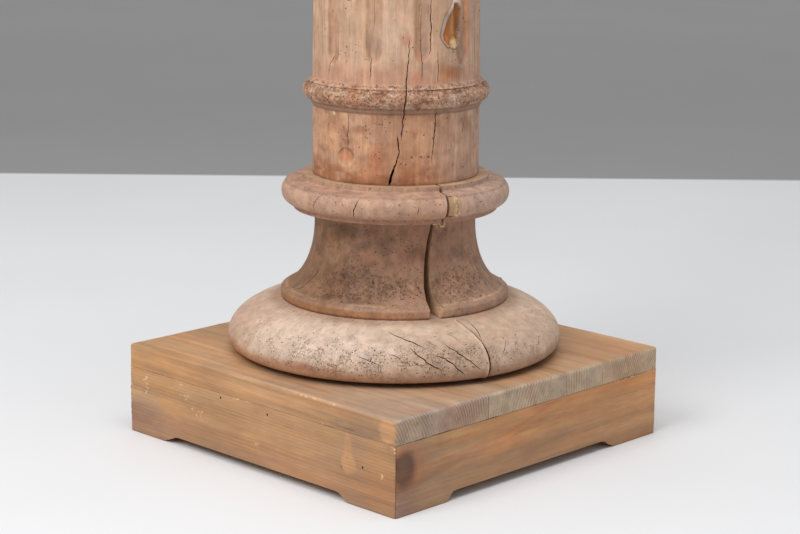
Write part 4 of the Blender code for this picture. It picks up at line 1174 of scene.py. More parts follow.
holes += 0.04 + 1.5 * ring_zone + 0.4 * patch((0.016, 0.016, 0.03), 234, 0.22, 0.55)
holes += 0.25 * spot(-5, 372, 12, 12, 0.8, 0.5, 235)
wash += 0.75 * ring_zone * patch(0.006, 246, -0.2, 0.4)
wash += 0.25 * patch((0.02, 0.02, 0.05), 236, 0.1, 0.6)
coat.marks *= (1 - 0.9 * inside)[:, None]
coat.times(1, 0.92, 0.89, 0.85)
coat.times(0.35 * ring_zone, 0.8, 0.74, 0.72)
coat.times(ring_zone * ramp(abs(deg), 30, 12), 0.9, 0.9, 0.92)
# Painted shade on the lower fillet, under the bead.
fillet_shade = ramp(mm, 390.5, 392.5) * ramp(mm, 399, 397)
coat.over(0.75 * fillet_shade, 138, 104, 84)
coat.times(drum, 1.1, 1.1, 1.1)
coat.times(ramp(deg, 15, 60), 1.02, 1.07, 1.13)
coat.times(0.5 * drum * patch((0.02, 0.02, 0.012), 254, 0.0, 0.4), 1.12, 1.1, 1.08)
coat.times(0.5 * drum * patch((0.016, 0.016, 0.012), 255, 0.1, 0.4), 0.84, 0.74, 0.66)
# Painted highlight along the fillet's upper edge, broken up.
coat.over(0.6 * peak(mm, 420.0, 0.9) * patch(0.02, 248, -0.5, 0.2), 216, 182, 158)
coat.over(0.5 * peak(mm, 402.5, 3.0) * patch(0.008, 249, -0.2, 0.4), 140, 92, 62)
# Broken dark lines along each flute's left edge: dirt, and painted shade on the side away from the
# light.
edge = peak(flute_side(place), -8.6, 0.9) * column * ramp(mm, 448, 460)
dirt_and_shade += 0.55 * edge * patch((0.01, 0.01, 0.02), 239, -0.1, 0.3)
# Painted shade: the flutes' hollows darkened.
coat.times(0.5 * ramp(hollow, 0.1, 0.7), 0.84, 0.79, 0.76)
coat.finish(45, (1, 1.6, 1))

# ---- filler and old glue in the split ----------------------------------------------------------

FILLER = old_wood("split_filler_wood", (1.0, 1.0, 0.3), 0.14)
inset = 0.0001
points, faces = brick(
    np.linspace(np.interp(0.2925, SPLIT_Z, SPLIT_RIGHT) + 0.0012, NOTCH_SIDE - 0.0006, 22),
    np.array([0.0, 0.4, 0.7, 1.0]),
    np.linspace(NOTCH_LOW + inset, NOTCH_HIGH - inset, 34),
)
side, layer, height = points.T
sunk = 0.7 + 1.3 * ramp(side, 0.0195, 0.015) + 0.6 * layered(points * [1, 0, 1], 0.005, 251)
skin = np.interp(height, rows[:, 1], rows[:, 0]) - sunk * MM
depth = NOTCH_RADIUS + inset + (skin - NOTCH_RADIUS - inset) * layer
points = round_axis(depth, SPLIT + np.degrees(np.arcsin(side / depth)), height)
filler = new_piece("filler_sliver", points, faces, FILLER, ["split_filler"])
coat = Coat(filler, Turned, colour(176, 142, 112))
place, _, holes, *_, patch = coat.tools()
right_part = ramp(place.radius * np.sin(np.radians(place.degrees - SPLIT))
    + layered(place.points, 0.004, 253), 18.6, 19.8)
coat.over(0.8 * right_part, 204, 174, 124)
coat.over(0.5 * patch(0.006, 252, 0, 0.6), 170, 126, 84)
holes += 0.25
coat.finish()

rng = np.random.default_rng(17)
CRUMBS = 20
crumb_points, crumb_faces = [], []
ball, ball_faces = brick(np.linspace(-1, 1, 6), np.linspace(-1, 1, 6), np.linspace(-1, 1, 6))
ball /= np.linalg.norm(ball, axis=1, keepdims=True)
for i in range(CRUMBS + 15):
    cluster = (29.0, 33.5, 38.0)[i % 3]
    z = rng.uniform(0.264, 0.2715)
    degree = cluster + rng.normal(0, 1.3)
    size = rng.uniform(0.9, 2.3) * MM
    if i > CRUMBS:
        z = rng.uniform(NOTCH_LOW - 0.002, NOTCH_HIGH)
        degree = SPLIT + math.degrees(NOTCH_SIDE / 0.131) + rng.normal(0, 0.6)
        size = rng.uniform(0.6, 1.4) * MM
    reach = np.interp(z, rows[:, 1], rows[:, 0]) + size * 0.1
    middle = round_axis(reach, degree, z)
    form = (
        ball * size * rng.uniform(0.7, 1.35, 3)
        * (1 + 0.35 * noise(ball + i * 7.0, 0.8, 260)[:, None])
    )
    crumb_faces.append(ball_faces + sum(map(len, crumb_points)))
    crumb_points.append(form + middle)
points, faces = np.concatenate(crumb_points), np.concatenate(crumb_faces)
crumbs = new_piece("glue_crumbs", points, faces, FILLER)
Coat(crumbs, Turned, colour(204, 174, 130)).finish()

# ---- capital, plate, pan and pricket -----------------------------------------------------------


def turned_wood_piece(name, node, shown, inner, seed, cracks):
    """A turned piece with a hole down its middle, in the shaft's wood, with its own stains."""
    profile = soften(spread(shown, lambda z: 0.0016), 1)
    points, faces = lathe([*profile, *inner], cuts(-180, 179, 1.0))
    place = Turned(points)
    patch = place.patch
    seen = ramp(place.radius, 70, 80)
    swell = (
        0.3 * layered(points, (0.03, 0.03, 0.02), seed) + 0.12
        * layered(points, 0.007, seed + 1)
    )
    nicks = 1.3 * patch((0.012, 0.012, 0.006), seed + 2, 0.45, 0.85)
    points = points + normals_of(points, faces) * ((swell - 0.15 - nicks) * seen * MM)[:, None]
    piece = new_piece(name, points, faces, WOOD_TURNED, [node])
    cracks = [(places, (0.4, 1.2, 0.5), 6, 0.4) for places in cracks]
    cut_cracks(piece, cracks_of(profile, seed + 10, cracks), DARK_SPLIT)
    coat = Coat(piece, Turned, colour(196, 156, 128))
    _, dirt_and_shade, holes, wash, *_, patch = coat.tools()
    coat.over(0.6 * patch(0.03, seed + 3, -0.1, 0.6), 210, 176, 150)
    coat.over(0.5 * patch(0.018, seed + 4, 0.15, 0.7), 176, 128, 98)
    dirt_and_shade += 0.4 * patch((0.02, 0.02, 0.004), seed + 5, 0.1, 0.7)
    holes += 0.15 + 0.45 * patch(0.03, seed + 6, 0.0, 0.5)
    wash += 0.5 * patch(0.03, seed + 7, -0.1, 0.5)
    coat.finish(45)


BAND_LOW = CAPITAL_HIGH.z - 0.03
echinus = arc(0.09, BAND_LOW - 0.004, 0.028, 0.034, 0, -90, 14)
turned_wood_piece(
    "column_capital",
    "capital",
    [(0.11, CAPITAL_HIGH.z), (0.122, CAPITAL_HIGH.z), (0.124, CAPITAL_HIGH.z - 0.002),
        (0.124, BAND_LOW + 0.001)]
    + [(0.123, BAND_LOW), (0.118, BAND_LOW), *echinus, (0.086, echinus[-1][1] - 0.002),
        (0.086, CAPITAL_LOW.z)],
    [(BORE, CAPITAL_LOW.z), (BORE, CAPITAL_HIGH.z), (0.09, CAPITAL_HIGH.z)],
    300,
    [
        [(-24, 1461), (-24.6, 1446), (-24, 1433)],
        [(62, 1461), (62.5, 1440), (61, 1425), (61.5, 1410)],
        [(-120, 1461), (-119, 1448), (-120.5, 1434)],
        [(150, 1461), (151, 1446), (150, 1430), (151, 1412)],
    ],
)

PRICKET_HOLE = 0.0053
LIP = 0.008
STAND_TOP = PLATE_HIGH.z - 0.0003
rim = arc(0.132, PLATE_HIGH.z - LIP, LIP, LIP, 90, -90, 14)
hollow = [(r, 2 * (PLATE_LOW.z + 0.004) - z) for r,
    z in arc(0.128, PLATE_LOW.z + 0.004, -0.028, 0.014, -80, 0, 12)]
turned_wood_piece(
    "candle_stand",
    "candle_plate",
    [(0.105, STAND_TOP), *rim, (0.128, PLATE_HIGH.z - 0.0175), *hollow, (0.1005, PLATE_LOW.z)],
    [(PRICKET_HOLE, PLATE_LOW.z), (PRICKET_HOLE, STAND_TOP),
        *[(r / 1000, STAND_TOP) for r in range(20, 104, 12)]],
    330,
    [
        [(14, 1499), (14.5, 1490), (13.6, 1484)],
        [(-66, 1499.5), (-66.5, 1490), (-65.6, 1484)],
        [(100, 1499), (100.5, 1492), (99.8, 1485)],
        [(-160, 1499), (-160.5, 1491), (-160, 1484)],
    ],
)

PAN_SHEET, PAN_BOTTOM = 0.0015, PAN_LOW.z
BRASS = metal("aged_brass", colour(196, 152, 84), colour(120, 84, 44), 0.36)
cove_r, cove_z = PAN_HIGH.x - 0.02, PAN_BOTTOM + 0.014
cove = arc(cove_r, cove_z, 0.014, 0.014, -90, -14, 16)
inner = arc(cove_r, cove_z, 0.0125, 0.0125, -90, -14, 16)
lip = arc(PAN_HIGH.x - 0.0025, PAN_HIGH.z - 0.0025, 0.0025, 0.0025, 150, -100, 16)
floor_under = [(r / 1000, PAN_BOTTOM) for r in range(105, 12, -8)]
floor_over = [(r / 1000, PAN_BOTTOM + PAN_SHEET) for r in range(17, 110, 8)]
points, faces = lathe(
    [*lip, *reversed(cove), *floor_under, (0.009, PAN_BOTTOM), (0.009, PAN_BOTTOM + PAN_SHEET),
        *floor_over, *inner],
    cuts(-180, 179, 1.6),
)
place = Turned(points)
rising = ramp(place.radius, 100, 125)
wave = layered(place.points * [1, 1, 0], 0.05, 361) * 0.7 * rising
out = points * [1, 1, 0] / np.maximum(place.radius[:, None] * MM, 1e-6)
points = points + out * ((wave - 0.75) * rising * MM)[:, None]
points[:, 2] += (0.25 * layered(points * [1, 1, 0], 0.04, 362) - 0.3) * rising * MM
dimple = ramp(place.radius, 12, 20) * ramp(place.radius, 104, 92)
points[:, 2] += np.maximum(0, layered(points * [1, 1, 0], 0.022, 363)) * 0.5 * MM * dimple
pan = new_piece("brass_drip_pan", points, faces, BRASS, ["drip_pan"], "drip_pan")
smooth(pan, 60)

IRON = metal("forged_iron", colour(70, 64, 60), colour(48, 40, 36), 0.55, 160.0)
SPIKE_SQUARE = 0.16
collar = PAN_BOTTOM - 0.0003
points, faces = lathe(
    spread(
        [(0.0, PRICKET_HIGH.z), (0.0011, PRICKET_HIGH.z - 0.004), (0.0059, 1.523), (0.0059, 1.5055)]
        + [(0.007, 1.5045), (0.0078, 1.503), (0.0079, 1.5008), (0.005, 1.5006)]
        + [(0.0049, PRICKET_LOW.z + 0.02), (0.0, PRICKET_LOW.z)],
        lambda z: 0.003 if z > 1.5 else 0.012,
    ),
    cuts(-180, 179, 12.0),
)
place = Turned(points)
squared = (
    1 - SPIKE_SQUARE * (1 - np.abs(np.cos(np.radians(2 * place.degrees))))
    * ramp(place.mm, 1522, 1530)
)
hammered = (
    1 - 0.05 * np.maximum(0, layered(points, (0.006, 0.006, 0.012), 371))
    * ramp(place.mm, 1500, 1508)
)
points[:, :2] *= (squared * hammered)[:, None]
spike = new_piece("forged_pricket", points, faces, IRON, ["pricket"])
smooth(spike, 50)

# ---- the plinth's boards -----------------------------------------------------------------------

CORNER_ROUND, TOP_ROUND, ARRIS = 0.005, 0.0042, 0.0004
SEAM_GAP = 0.0003
TIGHTER = 0.0001


def edged(low, high, step, *bands):
    """Cuts that are close together near both ends, to round them."""
    fine = np.array([0.0, 0.25, 0.5, 0.8, 1.3, 2.1, 3.2, 4.5]) * MM
    middle = cuts(low + fine[-1], high - fine[-1], step, *bands)
    return np.concatenate([low + fine[:-1], middle, high - fine[-2::-1]])


def ease(points, low, high, radius):
    """Rounds the edges of a box of points."""
    radius = np.broadcast_to(radius, len(points))[:, None]
    core = np.clip(points, np.asarray(low) + radius, np.asarray(high) - radius)
    off = points - core
    length = np.linalg.norm(off, axis=1, keepdims=True)
    return core + off * np.minimum(1, radius / np.maximum(length, 1e-9))


def weathered(points):
    """Rounds the plinth's upright corners and its upper rim, unevenly as wear does."""
    core = np.clip(points[:, :2], -(HALF - CORNER_ROUND), HALF - CORNER_ROUND)
    off = points[:, :2] - core
    reach = np.linalg.norm(off, axis=1)
    way = off / np.maximum(reach, 1e-9)[:, None]
    reach = np.minimum(reach, CORNER_ROUND)
    rim = TOP_ROUND * (1 + 0.35 * layered(points, 0.03, 401))
    a, b = reach - (CORNER_ROUND - rim), points[:, 2] - (TOP - rim)
    both = (a > 0) & (b > 0)
    shrink = np.where(both, np.minimum(1, rim / np.maximum(np.hypot(a, b), 1e-9)), 1)
    reach = np.where(both, CORNER_ROUND - rim + a * shrink, reach)
    height = np.where(both, TOP - rim + b * shrink, points[:, 2])
    return np.column_stack([core + way * reach[:, None], height])


def textured(points, faces, grain, seed, chips=0.0):
    """Presses long shallow hollows, and a few dents, into a board's faces."""
    hollows = 0.16 * (1 + layered(points, np.where(grain, 0.12, 0.012), seed))
    dents = 0.8 * ramp(layered(points, np.where(grain, 0.02, 0.008), seed + 1), 0.52, 0.85)
    bitten = chips * ramp(layered(points, 0.006, seed + 2), 0.1, 0.7)
    return points - normals_of(points, faces) * ((hollows + dents + bitten) * MM)[:, None]


def drill(piece, at, direction, radius, depth, material):
    """A round hole into the piece from a point on its face."""
    aside = np.cross(direction, UP)
    ring = np.radians(np.arange(0, 360, 20))
    circle = (np.cos(ring)[:, None] * aside + np.sin(ring)[:, None] * UP) * radius
    points = np.concatenate([circle + at + direction * 0.004, circle + at - direction * depth])
    count = len(ring)
    faces = [[i, (i + 1) % count, (i + 1) % count + count, i + count] for i in range(count)]
    faces += [list(range(count))[::-1], list(range(count, 2 * count))]
    cut_away(piece, points, faces, material)


EARLY, LATE = colour(190, 146, 104), colour(158, 108, 72)
TOP_PINES = [
    pine("top_pine_1", 0, (-0.3, 0.04), 0.0038, EARLY, LATE, 0.3),
    pine("top_pine_2", 0, (0.11, 0.035), 0.0042, EARLY, LATE, 0.3),
    pine("top_pine_3", 0, (0.32, 0.08), 0.0042, EARLY, LATE, 0.2),
    pine("top_pine_4", 0, (0.3, 0.045), 0.0037, EARLY, LATE, 0.3),
]
for i in range(4):
    low, high = (np.array(corner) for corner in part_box(f"plinth_top_board_{i + 1}"))
    low, high = np.maximum(low, [-HALF, -HALF, TOP_UNDER]), np.minimum(high, [HALF, HALF, TOP])
    low[1] -= TIGHTER * (i > 1)
    low[2] -= 2 * TIGHTER
    high[1] += TIGHTER * (i in (1, 2))
    steps = (0.0026, 0.0024, 0.0024)
    points, faces = brick(*[edged(*ends_and_step) for ends_and_step in zip(low, high, steps)])
    points = weathered(ease(points, low, high, ARRIS / (2 if i == 0 else 4)))
    points = textured(points, faces, (True, False, False), 410 + 10 * i)
    node = f"plinth_top_board_{i + 1}"
    board = new_piece(f"top_plank_{i + 1}", points, faces, TOP_PINES[i], [node])
    coat = Coat(board, Flat, (1.0, 1.0, 1.0))
    place, dirt_and_shade, specks, pale, x, y, z, spot, patch = coat.tools()
    points = place.points
    ends = ramp(abs(x), 216.0, 219.3)
    over = ramp(z, 103, 105.4)
    fore = ramp(y, -215, -219.3)
    streak = (0.09, 0.009, 0.02)
    coat.to(0.6 * patch(streak, 451 + i, 0.05, 0.6), 1.08, 0.86, 0.74)
    coat.to(0.5 * patch(streak, 461 + i, 0.1, 0.6), 0.86, 0.84, 0.86)
    coat.to(0.5 * patch((0.12, 0.012, 0.02), 471 + i, 0.1, 0.6), 1.12, 1.02, 0.84)
    coat.to(0.35 * over * patch(0.05, 481, -0.1, 0.5), 0.92, 0.92, 0.98)
    coat.to(ends, 1.02, 1.34, 1.86)
    coat.times(ends * ramp(y, -76, -80), 0.92, 0.9, 0.92)
    coat.times(0.8 * ends * spot(y, z, (-128, 93), (24, 18), 0.6, 0.5, 482), 0.84, 0.76, 0.84)
    coat.times(0.5 * ends * spot(y, z, (100, 96), (60, 14), 0.6, 0.6, 483), 0.9, 0.93, 0.96)
    filled = spot(x, z, (207, 92), (12, 13), 0.15, 0.15, 484)
    coat.to(fore * ramp(z, 105, 100) * filled, 1.46, 1.36, 1.22)
    coat.to(0.8 * fore * spot(x, z, (160, 84), (38, 6), 0.5, 0.4, 485), 0.8, 0.86, 0.96)
    coat.to(0.6 * fore * ramp(z, 104, 96) * ramp(x, -60, -150), 1.16, 1.00, 0.78)
    coat.to(0.4 * fore * spot(x, z, (60, 92), (120, 14), 0.5, 0.5, 486), 0.96, 0.9, 0.84)
    knot = spot(x, y, (166, -164), (11, 7), 0.5, 0.3, 487) * over
    coat.to(0.6 * knot, 0.86, 0.78, 0.84)
    broken = patch((0.03, 0.03, 0.01), 495, 0.0, 0.35)
    broken *= np.where(fore > 0.5, 0.2 + 0.8 * ramp(x, 105, 130) * ramp(x, 200, 190), 1)
    dirt_and_shade += 0.8 * ramp(z, TOP_UNDER / MM + 0.9, TOP_UNDER / MM) * broken
    seam_dirt = spot(x, z, (160, 84), (38, 5), 0.5, 0.8, 488)
    dirt_and_shade += 0.5 * fore * seam_dirt * patch((0.012, 0.004, 0.003), 489, 0.1, 0.5)
    dirt_and_shade += 0.3 * ends * patch(0.007, 490, 0.4, 0.65)
    coat.times(over * ramp(x, -60, -180), 1.00, 0.99, 0.92)
    coat.times(over * ramp(x - y, 60, 300), 1.03, 1.15, 1.46)
    coat.times(0.7 * over * patch((0.1, 0.007, 0.02), 494 + i, 0.1, 0.45), 1.04, 0.84, 0.68)
    coat.times(0.6 * over * patch((0.08, 0.009, 0.02), 504 + i, 0.1, 0.45), 0.86, 0.88, 0.98)
    coat.times(over * ramp(x - y, 220, 360), 0.96, 1.05, 1.14)
    coat.times(fore * ramp(x, 60, 200), 0.86, 0.87, 0.92)
    pale_line = peak(z, 103.4, 1.0) * patch((0.05, 0.02, 0.02), 496, -0.6, 0.2)
    coat.times(0.8 * fore * pale_line, 1.28, 1.26, 1.26)
    coat.times(0.8 * ends * pale_line, 1.1, 1.1, 1.1)
    coat.times(0.5 * fore * peak(z, 101.0, 0.9) * ramp(x, -100, 0), 0.84, 0.84, 0.86)
    coat.times(1, 0.95, 0.97, 1.0)
    specks += 0.03 + 0.2 * ends
    pale += 0.15 * ends * patch(0.012, 491, 0.0, 0.5) + 0.25 * ends * ramp(z, 103.5, 105)
    pale += 0.65 * fore * ramp(z, 101.5, 104) * patch((0.05, 0.01, 0.01), 492, -0.1, 0.4)
    pale += 0.45 * fore * ramp(z, 81.5, 79.8) * patch((0.03, 0.01, 0.01), 493, 0.0, 0.4)
    coat.finish(alpha=1 - ends)

FOOT_CUTS = {
    "front": (-0.16, -0.137, 0.135, 0.15, 0.009),
    "right": (-0.143, -0.132, 0.125, 0.142, 0.0105),
    "back": (-0.152, -0.134, 0.134, 0.152, 0.0095),
    "left": (-0.15, -0.134, 0.136, 0.156, 0.0095),
}
# Pale flecks on the front board: mm along it, mm up, and their half width and height.
FLECKS = [(-125, 73, 9, 3), (-95, 48, 12, 6), (-118, 62, 10, 5)]
FLECKS += [(200, 43, 6, 5), (3, 33, 7, 4), (-190, 62, 6, 14)]
PIN_NODES = [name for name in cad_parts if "_pin_" in name]
SIDE_PINES = [
    pine("front_pine", 0, (-0.15, -0.06), 0.0034, EARLY, LATE, 0.24),
    pine("right_pine", 1, (0.16, 0.04), 0.0048, EARLY, LATE, 0.36),
    pine("back_pine", 0, (0.14, 0.01), 0.004, EARLY, LATE, 0.5),
    pine("left_pine", 1, (-0.15, -0.03), 0.0035, EARLY, LATE, 0.5),
]
for i, (where, cut) in enumerate(FOOT_CUTS.items()):
    foot_out, foot_in, next_in, next_out, rise = cut
    outline_u = [foot_out, (foot_out + foot_in) / 2, foot_in, foot_in + 0.006]
    outline_u += [next_in - 0.006, next_in, (next_in + next_out) / 2, next_out]
    outline_z = np.array([0.0, 0.36, 0.92, 1.0, 1.0, 0.92, 0.36, 0.0]) * rise
    reach = HALF - SEAM_GAP / math.sqrt(2)
    feet = ((foot_out - 0.004, foot_in + 0.01, 0.0011), (next_in - 0.01, next_out + 0.004, 0.0011))
    long_cuts = edged(-reach, reach, 0.0026, *feet)
    points, faces = brick(long_cuts, edged(0.0, BOARD, 0.0045), edged(0.0, SIDE_TOP, 0.0024))
    points = ease(points, (-reach, 0, 0), (reach, BOARD, SIDE_TOP), ARRIS)
    along, deep, height = points.T
    along = along * (reach - deep) / reach
    height = height + np.interp(along, outline_u, outline_z) * (1 - height / SIDE_TOP)
    points = np.column_stack([along, deep - HALF, height])
    turn = math.radians(90 * i)
    cos, sin = math.cos(turn), math.sin(turn)
    spin = np.array([[cos, -sin, 0], [sin, cos, 0], [0, 0, 1]])
    points = weathered(points @ spin.T)
    crumbled = ramp(np.hypot(abs(points[:, 0]) - HALF, abs(points[:, 1]) - HALF) / MM, 11, 4)
    points = textured(points, faces, (i % 2 == 0, i % 2 == 1, False), 510 + 10 * i, 0.7 * crumbled)
    node = f"plinth_side_{where}"
    board = new_piece(f"{where}_plank", points, faces, SIDE_PINES[i], [node])
    face = spin @ np.array([0.0, -1.0, 0.0])
    for pin in PIN_NODES:
        if where == "front" and pin.startswith(where):
            low, high = (np.array(corner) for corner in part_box(pin))
            middle = (low + high) / 2
            head = middle + face * (HALF - middle @ face)
            drill(board, head, face, 0.0013, 0.0008, DARK_SPLIT)
    coat = Coat(board, Flat, (1.0, 1.0, 1.0))
    place, dirt_and_shade, specks, pale, _, _, z, spot, patch = coat.tools()
    points = place.points
    u = (points @ (spin @ np.array([1.0, 0.0, 0.0]))) / MM
    outer = ramp((points @ face) / MM, 212, 217)

    def at(across, up, wide, high, *rest):
        """A spot on the board's face, by mm along it and mm up."""
        return spot(u, z, (across, up), (wide, high), *rest)

    grain = np.where(np.array([i % 2 == 0, i % 2 == 1, False]), 0.1, 0.01)
    coat.to(0.5 * patch(grain, 551 + i, 0.0, 0.6), 1.06, 0.9, 0.78)
    coat.to(0.45 * patch(grain, 561 + i, 0.1, 0.6), 0.88, 0.86, 0.88)
    coat.to(0.45 * patch(grain * 1.5, 571 + i, 0.1, 0.6), 1.12, 1.04, 0.86)
    coat.to(0.3 * patch(0.03, 575 + i, 0.0, 0.6), 0.94, 0.9, 0.92)
    broken = patch((0.03, 0.03, 0.01), 495, 0.0, 0.35)
    if where == "front":
        broken *= 0.2 + 0.8 * ramp(u, 105, 130) * ramp(u, 200, 190)
    # A broken dark joint along the top edge, and painted shade along the bottom, where the feet
    # stand on the floor.
    dirt_and_shade += 0.8 * ramp(z, SIDE_TOP / MM - 0.9, SIDE_TOP / MM) * broken + 0.35 * ramp(z, 2.5, 0.3)
    specks += 0.02
    if where == "front":
        coat.to(0.7 * ramp(u, -80, -215) * ramp(z, 50, 75), 1.16, 1.00, 0.76)
        coat.to(0.5 * ramp(u, -60, -200) * ramp(z, 48, 20), 0.92, 0.8, 0.76)
        coat.to(0.6 * at(-150, 50, 18, 22, 0.6, 0.5, 581), 1.16, 1.02, 0.74)
        coat.to(0.5 * at(0, 36, 22, 10, 0.6, 0.5, 582), 1.18, 1.08, 0.86)
        coat.to(0.5 * at(195, 40, 20, 40, 0.6, 0.4, 583), 1.14, 1.02, 0.8)
        coat.to(0.9 * at(150, 44, 11, 11, 0.12, 0.12, 584), 1.4, 1.3, 1.16)
        coat.to(0.8 * at(149, 62, 5.5, 16, 0.25, 0.25, 585), 1.28, 1.18, 1.02)
        coat.to(0.3 * at(60, 60, 120, 10, 0.6, 0.4, 586), 0.88, 0.9, 0.92)
        coat.times(ramp(u, 40, 160), 0.84, 0.85, 0.9)
        coat.times(0.8 * place.wavering(u, 60, 0.03, 604, -120, -200) * ramp(z, 52, 34),
            0.84, 0.86, 1.02)
        coat.times(0.6 * patch((0.05, 0.02, 0.008), 605, 0.15, 0.5), 0.84, 0.86, 0.96)
        coat.times(0.6 * patch((0.05, 0.02, 0.007), 606, 0.2, 0.5), 1.1, 0.98, 0.8)
        coat.times(0.6 * place.wavering(z, 8, (0.06, 0.02, 0.02), 612, 46, 24), 0.86, 0.84, 0.94)
        coat.times(ramp(u, -140, -40), 0.95, 0.97, 0.98)
        coat.times(ramp(u, -110, -170), 1.04, 1.08, 1.13)
        dirt_and_shade += 0.9 * at(139, 38, 1.2, 1.2, 0.4)
        for fleck in FLECKS:
            pale += 0.8 * at(*fleck, 0.6, 1.0, 587)
        under_seam = ramp(z, 75.5, 78.5) * ramp(u, -90, -40) * ramp(u, 130, 110)
        pale += 0.9 * under_seam * patch((0.03, 0.01, 0.01), 588, -0.3, 0.3)
        pale += 0.8 * ramp(u, 209, 215) * patch(0.012, 589, -0.1, 0.5)
        pale += 0.8 * ramp(u, -210, -216) * ramp(z, 40, 60) * patch(0.01, 590, -0.1, 0.4)
    if where == "right":
        coat.to(0.7 * place.wavering(z, 5, (0.02, 0.05, 0.02), 591, 50, 36), 0.8, 0.76, 0.8)
        coat.to(0.5 * place.wavering(z, 6, (0.02, 0.05, 0.02), 592, 56, 70), 1.14, 1.00, 0.8)
        line = np.interp(u, (-200, -150, -50, 30, 60), (38, 50, 55, 75, 84))
        coat.to(0.8 * peak(z, line, 1.5) * ramp(u, -190, -150) * ramp(u, 60, 20), 1.00, 0.66, 0.52)
        coat.to(0.6 * at(12, 74, 18, 5.0, 0.3, 0.2, 593), 1.00, 0.74, 0.72)
        coat.to(0.5 * ramp(u, -150, -205), 0.86, 0.76, 0.78)
        halo = at(-206, 53, 32, 28, 0.35, 0.2, 594)
        coat.to(0.6 * halo, 1.02, 0.72, 0.56)
        knot = at(-209, 53, 18, 18, 0.22, 0.15, 595)
        far = np.hypot((u + 208) / 19.5, (z - 52) / 20.5) + 0.12 * layered(points, 0.01, 603)
        coat.to(0.95 * ramp(far, 1.1, 0.7), 0.26, 0.23, 0.26)
        coat.to(0.7 * knot * ramp(far, 0.6, 0.2), 0.34, 0.3, 0.32)
        coat.to(0.4 * peak(far, 1.0, 0.12), 0.4, 0.28, 0.24)
        coat.to(0.35 * halo * ramp(np.sin(far * 22), 0, 1) * ramp(far, 1.0, 1.1), 0.8, 0.62, 0.54)
        coat.times(0.7 * ramp(u, -120, -190) * (1 - knot), 0.86, 0.92, 1.04)
        coat.times(0.8 * ramp(u, -178, -205) * ramp(z, 42, 26), 0.78, 0.78, 0.94)
        coat.times(0.6 * patch((0.02, 0.05, 0.007), 607, 0.15, 0.5), 0.84, 0.86, 0.96)
        coat.times(0.5 * patch((0.02, 0.06, 0.006), 608, 0.2, 0.5), 1.08, 0.9, 0.74)
        coat.to(0.4 * at(60, 42, 70, 8, 0.6, 0.5, 596), 0.8, 0.82, 0.86)
        coat.times(ramp(u, -60, -130) * (1 - knot), 0.96, 1.04, 1.11)
        coat.times(ramp(u, 100, 180), 1.08, 1.07, 1.05)
        second = line - 9 + 4 * layered(points, (0.02, 0.06, 0.02), 609)
        coat.times(0.7 * peak(z, second, 1.2) * ramp(u, -200, -150), 0.98, 0.76, 0.66)
        third = line - 22 + 3 * layered(points, (0.02, 0.08, 0.02), 610)
        coat.times(0.5 * peak(z, third, 1.3) * ramp(u, -120, -60), 0.92, 0.8, 0.74)
        under_seam = ramp(z, 76.5, 78.8) * ramp(u, 90, 130)
        pale += 0.9 * under_seam * patch((0.01, 0.03, 0.01), 611, -0.4, 0.2)
        coat.to(0.5 * at(-155, 72, 6, 7, 0.5, 0.4, 597), 0.72, 0.72, 0.74)
    if where in ("back", "left"):
        for a, b, wide in ((-110, 40, 9), (72, 52, 12)):
            knot = at(a, b, wide, wide * 0.9, 0.25, 0.2, 598)
            coat.to(0.5 * at(a, b, wide * 2, wide * 1.6, 0.5, 0.2, 599), 1.0, 0.76, 0.6)
            coat.to(0.85 * knot, 0.5, 0.44, 0.42)
    near_mitre = ramp(abs(u), 217.4, 219.4) * outer
    dirt_and_shade += 0.7 * near_mitre * patch(0.01, 600, -0.4, 0.2)
    inside = 1 - outer
    coat.to(0.4 * inside, 0.9, 0.86, 0.84)
    coat.finish()

# ---- finishes of the CAD pieces that stay ------------------------------------------------------

INNER_PINE_X = pine("inner_pine_x", 0, (0.0, 0.03), 0.0034, EARLY, LATE)
INNER_PINE_Y = pine("inner_pine_y", 1, (0.0, 0.03), 0.0034, EARLY, LATE)
DOWEL = split_wood("dowel_wood", colour(196, 160, 118), colour(160, 118, 80))
RUSTY = metal("rusty_pin", colour(74, 56, 44), colour(46, 34, 27), 0.62)
STEEL = metal("dull_steel", colour(150, 146, 138), colour(96, 88, 78), 0.42, 200.0)
for name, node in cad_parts.items():
    if node.hide_render:
        continue
    if name.startswith("base_dowel"):
        finish = DOWEL
    elif "_pin_" in name:
        finish = RUSTY
    elif "screw" in name or "washer" in name:
        finish = STEEL
    else:
        low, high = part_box(name)
        finish = INNER_PINE_X if high.x - low.x > high.y - low.y else INNER_PINE_Y
    node.data.materials.clear()
    node.data.materials.append(finish)
    if finish in (INNER_PINE_X, INNER_PINE_Y):
        layer = node.data.color_attributes.new("tint", "FLOAT_COLOR", "POINT")
        layer.data.foreach_set("color", np.ones(len(node.data.vertices) * 4, np.float32))

# ---- floor, light and camera -------------------------------------------------------------------

CAMERA_TURN = math.radians(44.44)
CAMERA_FAR, CAMERA_HIGH = 2.3178, 0.7148
CAMERA_DOWN, CAMERA_YAW, CAMERA_ROLL = 0.2188, 0.0027, 0.0094
FLOOR_END = 1.735


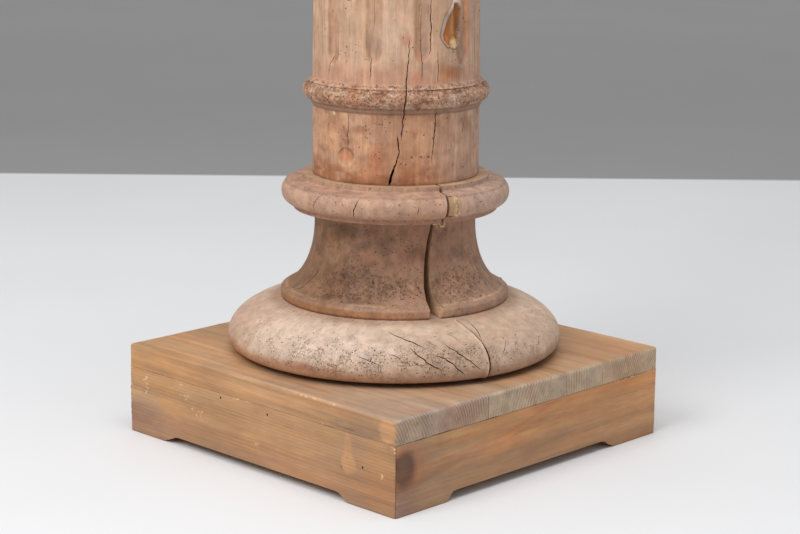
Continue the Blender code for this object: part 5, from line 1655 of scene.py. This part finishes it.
def camera_frame():
    """The camera's place and axes: it looks over the plinth's front corner."""
    ahead = np.array(
        [
            math.sin(CAMERA_YAW) * math.cos(CAMERA_DOWN),
            math.cos(CAMERA_YAW) * math.cos(CAMERA_DOWN),
            -math.sin(CAMERA_DOWN),
        ]
    )
    right = np.array([math.cos(CAMERA_YAW), -math.sin(CAMERA_YAW), 0.0])
    up = np.cross(right, ahead)
    level = math.cos(CAMERA_ROLL), math.sin(CAMERA_ROLL)
    right, up = right * level[0] + up * level[1], up * level[0] - right * level[1]
    columns = np.stack([right, up, -ahead, [0.0, -CAMERA_FAR, CAMERA_HIGH]], -1)
    return Matrix.Rotation(CAMERA_TURN, 4, "Z") @ Matrix([*columns.tolist(), [0, 0, 0, 1]])


lens = bpy.data.cameras.new("camera")
lens.lens, lens.sensor_width, lens.clip_end = 91.7, 36.0, 60.0
camera = bpy.data.objects.new("camera", lens)
camera.matrix_world = camera_frame()
bpy.context.scene.collection.objects.link(camera)
bpy.context.scene.camera = camera

# The floor is pale up to a straight line behind the candlestick, and mid grey beyond it.
s = Shader("studio_floor")
x, y, _ = s.node("ShaderNodeSeparateXYZ", {"Vector": s.place}).outputs[:3]
behind = s.plus(s.times(x, -math.sin(CAMERA_TURN)), s.times(y, math.cos(CAMERA_TURN)))
beyond = s.step(behind, FLOOR_END - 0.012, FLOOR_END + 0.012)
grey = s.mix(s.step(behind, FLOOR_END, FLOOR_END + 4.0), tuple(colour(151, 151, 151)),
    tuple(colour(171, 171, 171)))
base = s.mix(beyond, tuple(colour(226, 227, 229)), grey)
mottled = s.step(s.noise(1.6, None, 3.0), 0.3, 0.7, 0.985, 1.015)
floor_material = s.finish(s.lit(base, mottled), 0.7, s.bump(s.noise(260.0), 0.0002, 0.3),
    Specular_IOR_Level=0.2)
mesh = bpy.data.meshes.new("floor")
REACH = 40.0
mesh.from_pydata([(-REACH, -REACH, 0), (REACH, -REACH, 0), (REACH, REACH, 0), (-REACH, REACH, 0)],
    [], [(0, 1, 2, 3)])
mesh.materials.append(floor_material)
floor = bpy.data.objects.new("floor", mesh)
bpy.context.scene.collection.objects.link(floor)

world = bpy.data.worlds.new("studio")
bpy.context.scene.world = world
world.use_nodes = True
world.node_tree.nodes["Background"].inputs["Color"].default_value = (1.0, 1.0, 1.0, 1.0)
world.node_tree.nodes["Background"].inputs["Strength"].default_value = 0.53


def area_light(name, turn, far, high, size, power, tint=(1.0, 1.0, 1.0)):
    """A soft square light, by degrees round the axis from the camera, aimed at the base."""
    light = bpy.data.lights.new(name, "AREA")
    light.shape, light.size, light.energy, light.color = "SQUARE", size, power, tint
    lamp = bpy.data.objects.new(name, light)
    angle = CAMERA_TURN - math.pi / 2 + math.radians(turn)
    place = np.array([far * math.cos(angle), far * math.sin(angle), high])
    back = place - np.array([0.0, 0.0, 0.3])
    back /= np.linalg.norm(back)
    side = np.cross(UP, back)
    side /= np.linalg.norm(side)
    lamp.matrix_world = Matrix([*np.stack([side, np.cross(back, side), back, place], -1).tolist(),
        [0, 0, 0, 1]])
    bpy.context.scene.collection.objects.link(lamp)


area_light("key_light", -42, 2.6, 2.6, 1.6, 54)
area_light("top_light", 10, 0.9, 3.6, 2.4, 56)
bpy.context.scene.view_settings.view_transform = "Standard"
